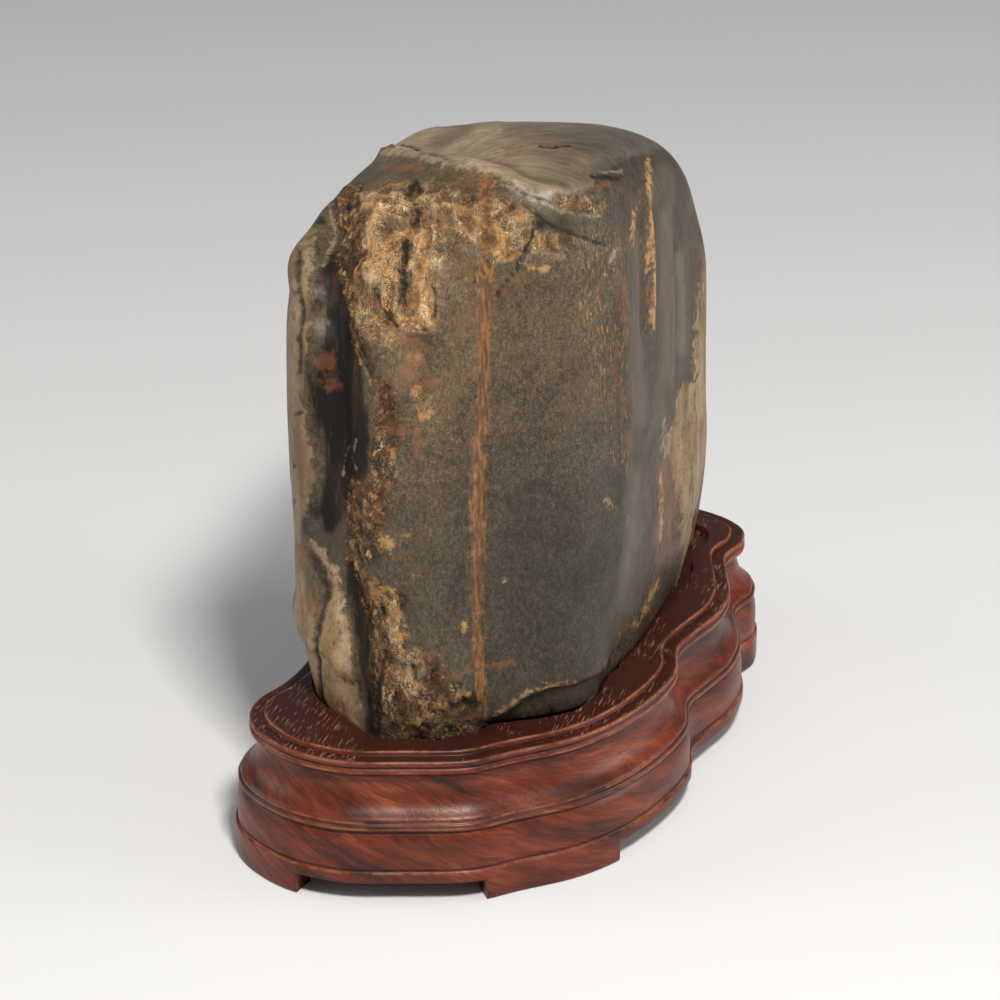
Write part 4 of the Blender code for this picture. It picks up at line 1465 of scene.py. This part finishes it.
streaks = noise(tree, streak_at.outputs[0], 1.1, 4.0, 0.7)
tone = blend(tree, step(tree, figure, 0.30, 0.56), WOOD_DARK, WOOD_RED)
tone = blend(tree, step(tree, figure, 0.52, 0.76), tone, WOOD_BRIGHT)
tone = blend(tree, step(tree, bands, 0.56, 0.34, 0.0, 0.5), tone, WOOD_DARK)
tone = lighten(tree, tone, step(tree, streaks, 0.34, 0.66, 0.76, 1.26))
pores = noise(tree, in_millimetres(tree, (1, 0.055, 1), (3, 1, 2)), 0.5, 1.0)
facing_way = add(tree, "ShaderNodeNewGeometry", {}).outputs["Normal"]
up = add(tree, "ShaderNodeSeparateXYZ", {0: facing_way}).outputs[2]
on_plate = step(tree, up, 0.9, 0.98)
# Painted shade: the plate, which faces up, is painted much darker.
tone = blend(tree, times(tree, on_plate, 0.9), tone, WOOD_DARK)
# Crests painted pale: partly wear, partly a painted highlight along the arris.
on_crest = stored(tree, "crest_wear_and_glint")
rubbed = step(tree, noise(tree, in_millimetres(tree, (1, 1, 1)), 14.0, 5.0, 0.7), 0.40, 0.60)
worn = times(tree, on_crest, rubbed)
tone = blend(tree, times(tree, worn, 0.75), tone, WOOD_WORN_AND_GLINT)
# Quirks painted dark: painted shade in the sharp inner corners.
tone = lighten(tree, tone, step(tree, stored(tree, "quirk_shade"), 0.0, 1.0, 1.0, 0.35))
open_grain = noise(tree, in_millimetres(tree, (1, 1, 1), (5, 5, 5)), 26.0, 3.0)
filled = step(tree, open_grain, 0.42, 0.60, 0.73, 0.58)
pore_share = step(tree, less(tree, pores, filled), 0.0, 0.07)
pore_tone = blend(tree, on_plate, PORE_DARK, PORE_PALE)
tone = blend(tree, times(tree, pore_share, 0.6), tone, pore_tone)
tree.links.new(tone, shader.inputs["Base Color"])
tree.links.new(step(tree, bands, 0.3, 0.7, 0.44, 0.30), shader.inputs["Roughness"])
shader.inputs["Specular IOR Level"].default_value = 0.32
height = less(tree, times(tree, streaks, 0.6), pore_share)
raised = add(tree, "ShaderNodeBump", {"Strength": 0.5, "Distance": 0.0002, "Height": height})
tree.links.new(raised.outputs[0], shader.inputs["Normal"])
stand.data.materials.append(wood_material)
print("the rosewood has", len(tree.nodes), "nodes")

# %% [markdown]
# ## The floor and the light
# The floor is plain and pale. The light is that of a product studio: a fairly
# small soft panel high in front, which puts one short gloss on the stand's
# round body, a large weak panel on each side that draws out the left flank and
# the tan right side, and an even pale surround that fills the shadows.

# %% Lay the floor and hang the lights
FLOOR_SIZE = 8.0
FLOOR_COLOUR = colour(0.76, 0.78, 0.81)
FLOOR_ROUGHNESS = 0.8
bm = bmesh.new()
bmesh.ops.create_grid(bm, x_segments=1, y_segments=1, size=FLOOR_SIZE / 2)
floor_mesh = bpy.data.meshes.new("floor")
bm.to_mesh(floor_mesh)
bm.free()
floor = bpy.data.objects.new("floor", floor_mesh)
bpy.context.scene.collection.objects.link(floor)
floor_material = bpy.data.materials.new("pale paper")
floor_material.use_nodes = True
floor_shader = floor_material.node_tree.nodes["Principled BSDF"]
floor_shader.inputs["Base Color"].default_value = FLOOR_COLOUR
floor_shader.inputs["Roughness"].default_value = FLOOR_ROUGHNESS
floor_mesh.materials.append(floor_material)


PANEL_WARMTH = (1.0, 0.95, 0.88)
PANEL_AIM = (0, 0, 0.15)
PANELS = [
    ("key panel", (0.55, -0.88, 1.55), 0.26, 32),
    ("left panel", (-1.6, -0.5, 0.7), 0.9, 8),
    ("right panel", (1.7, 0.3, 0.6), 0.9, 13),
]
SURROUND_COLOUR = colour(0.76, 0.76, 0.76)
SURROUND_STRENGTH = 0.28


def soft_panel(name, where, size, power):
    """A square panel of light that looks at the middle of the stone."""
    made = bpy.data.objects.new(name, bpy.data.lights.new(name, "AREA"))
    made.data.size = size
    made.data.energy = power
    made.data.color = PANEL_WARMTH
    made.location = where
    made.rotation_mode = "QUATERNION"
    made.rotation_quaternion = (Vector(where) - Vector(PANEL_AIM)).to_track_quat("Z", "Y")
    bpy.context.scene.collection.objects.link(made)


for panel in PANELS:
    soft_panel(*panel)
world = bpy.data.worlds.new("pale surround")
world.use_nodes = True
world.node_tree.nodes["Background"].inputs["Color"].default_value = SURROUND_COLOUR
world.node_tree.nodes["Background"].inputs["Strength"].default_value = SURROUND_STRENGTH
bpy.context.scene.world = world
bpy.context.scene.view_settings.view_transform = "Standard"

# %% [markdown]
# ## The last measure
# The dressed pieces must be as big as the plain solids they stand for. The box
# of the plain solids is printed.

# %% Print the solids' box
print("solid box, m:", [round(x, 4) for x in (*solid_low, *solid_high)])
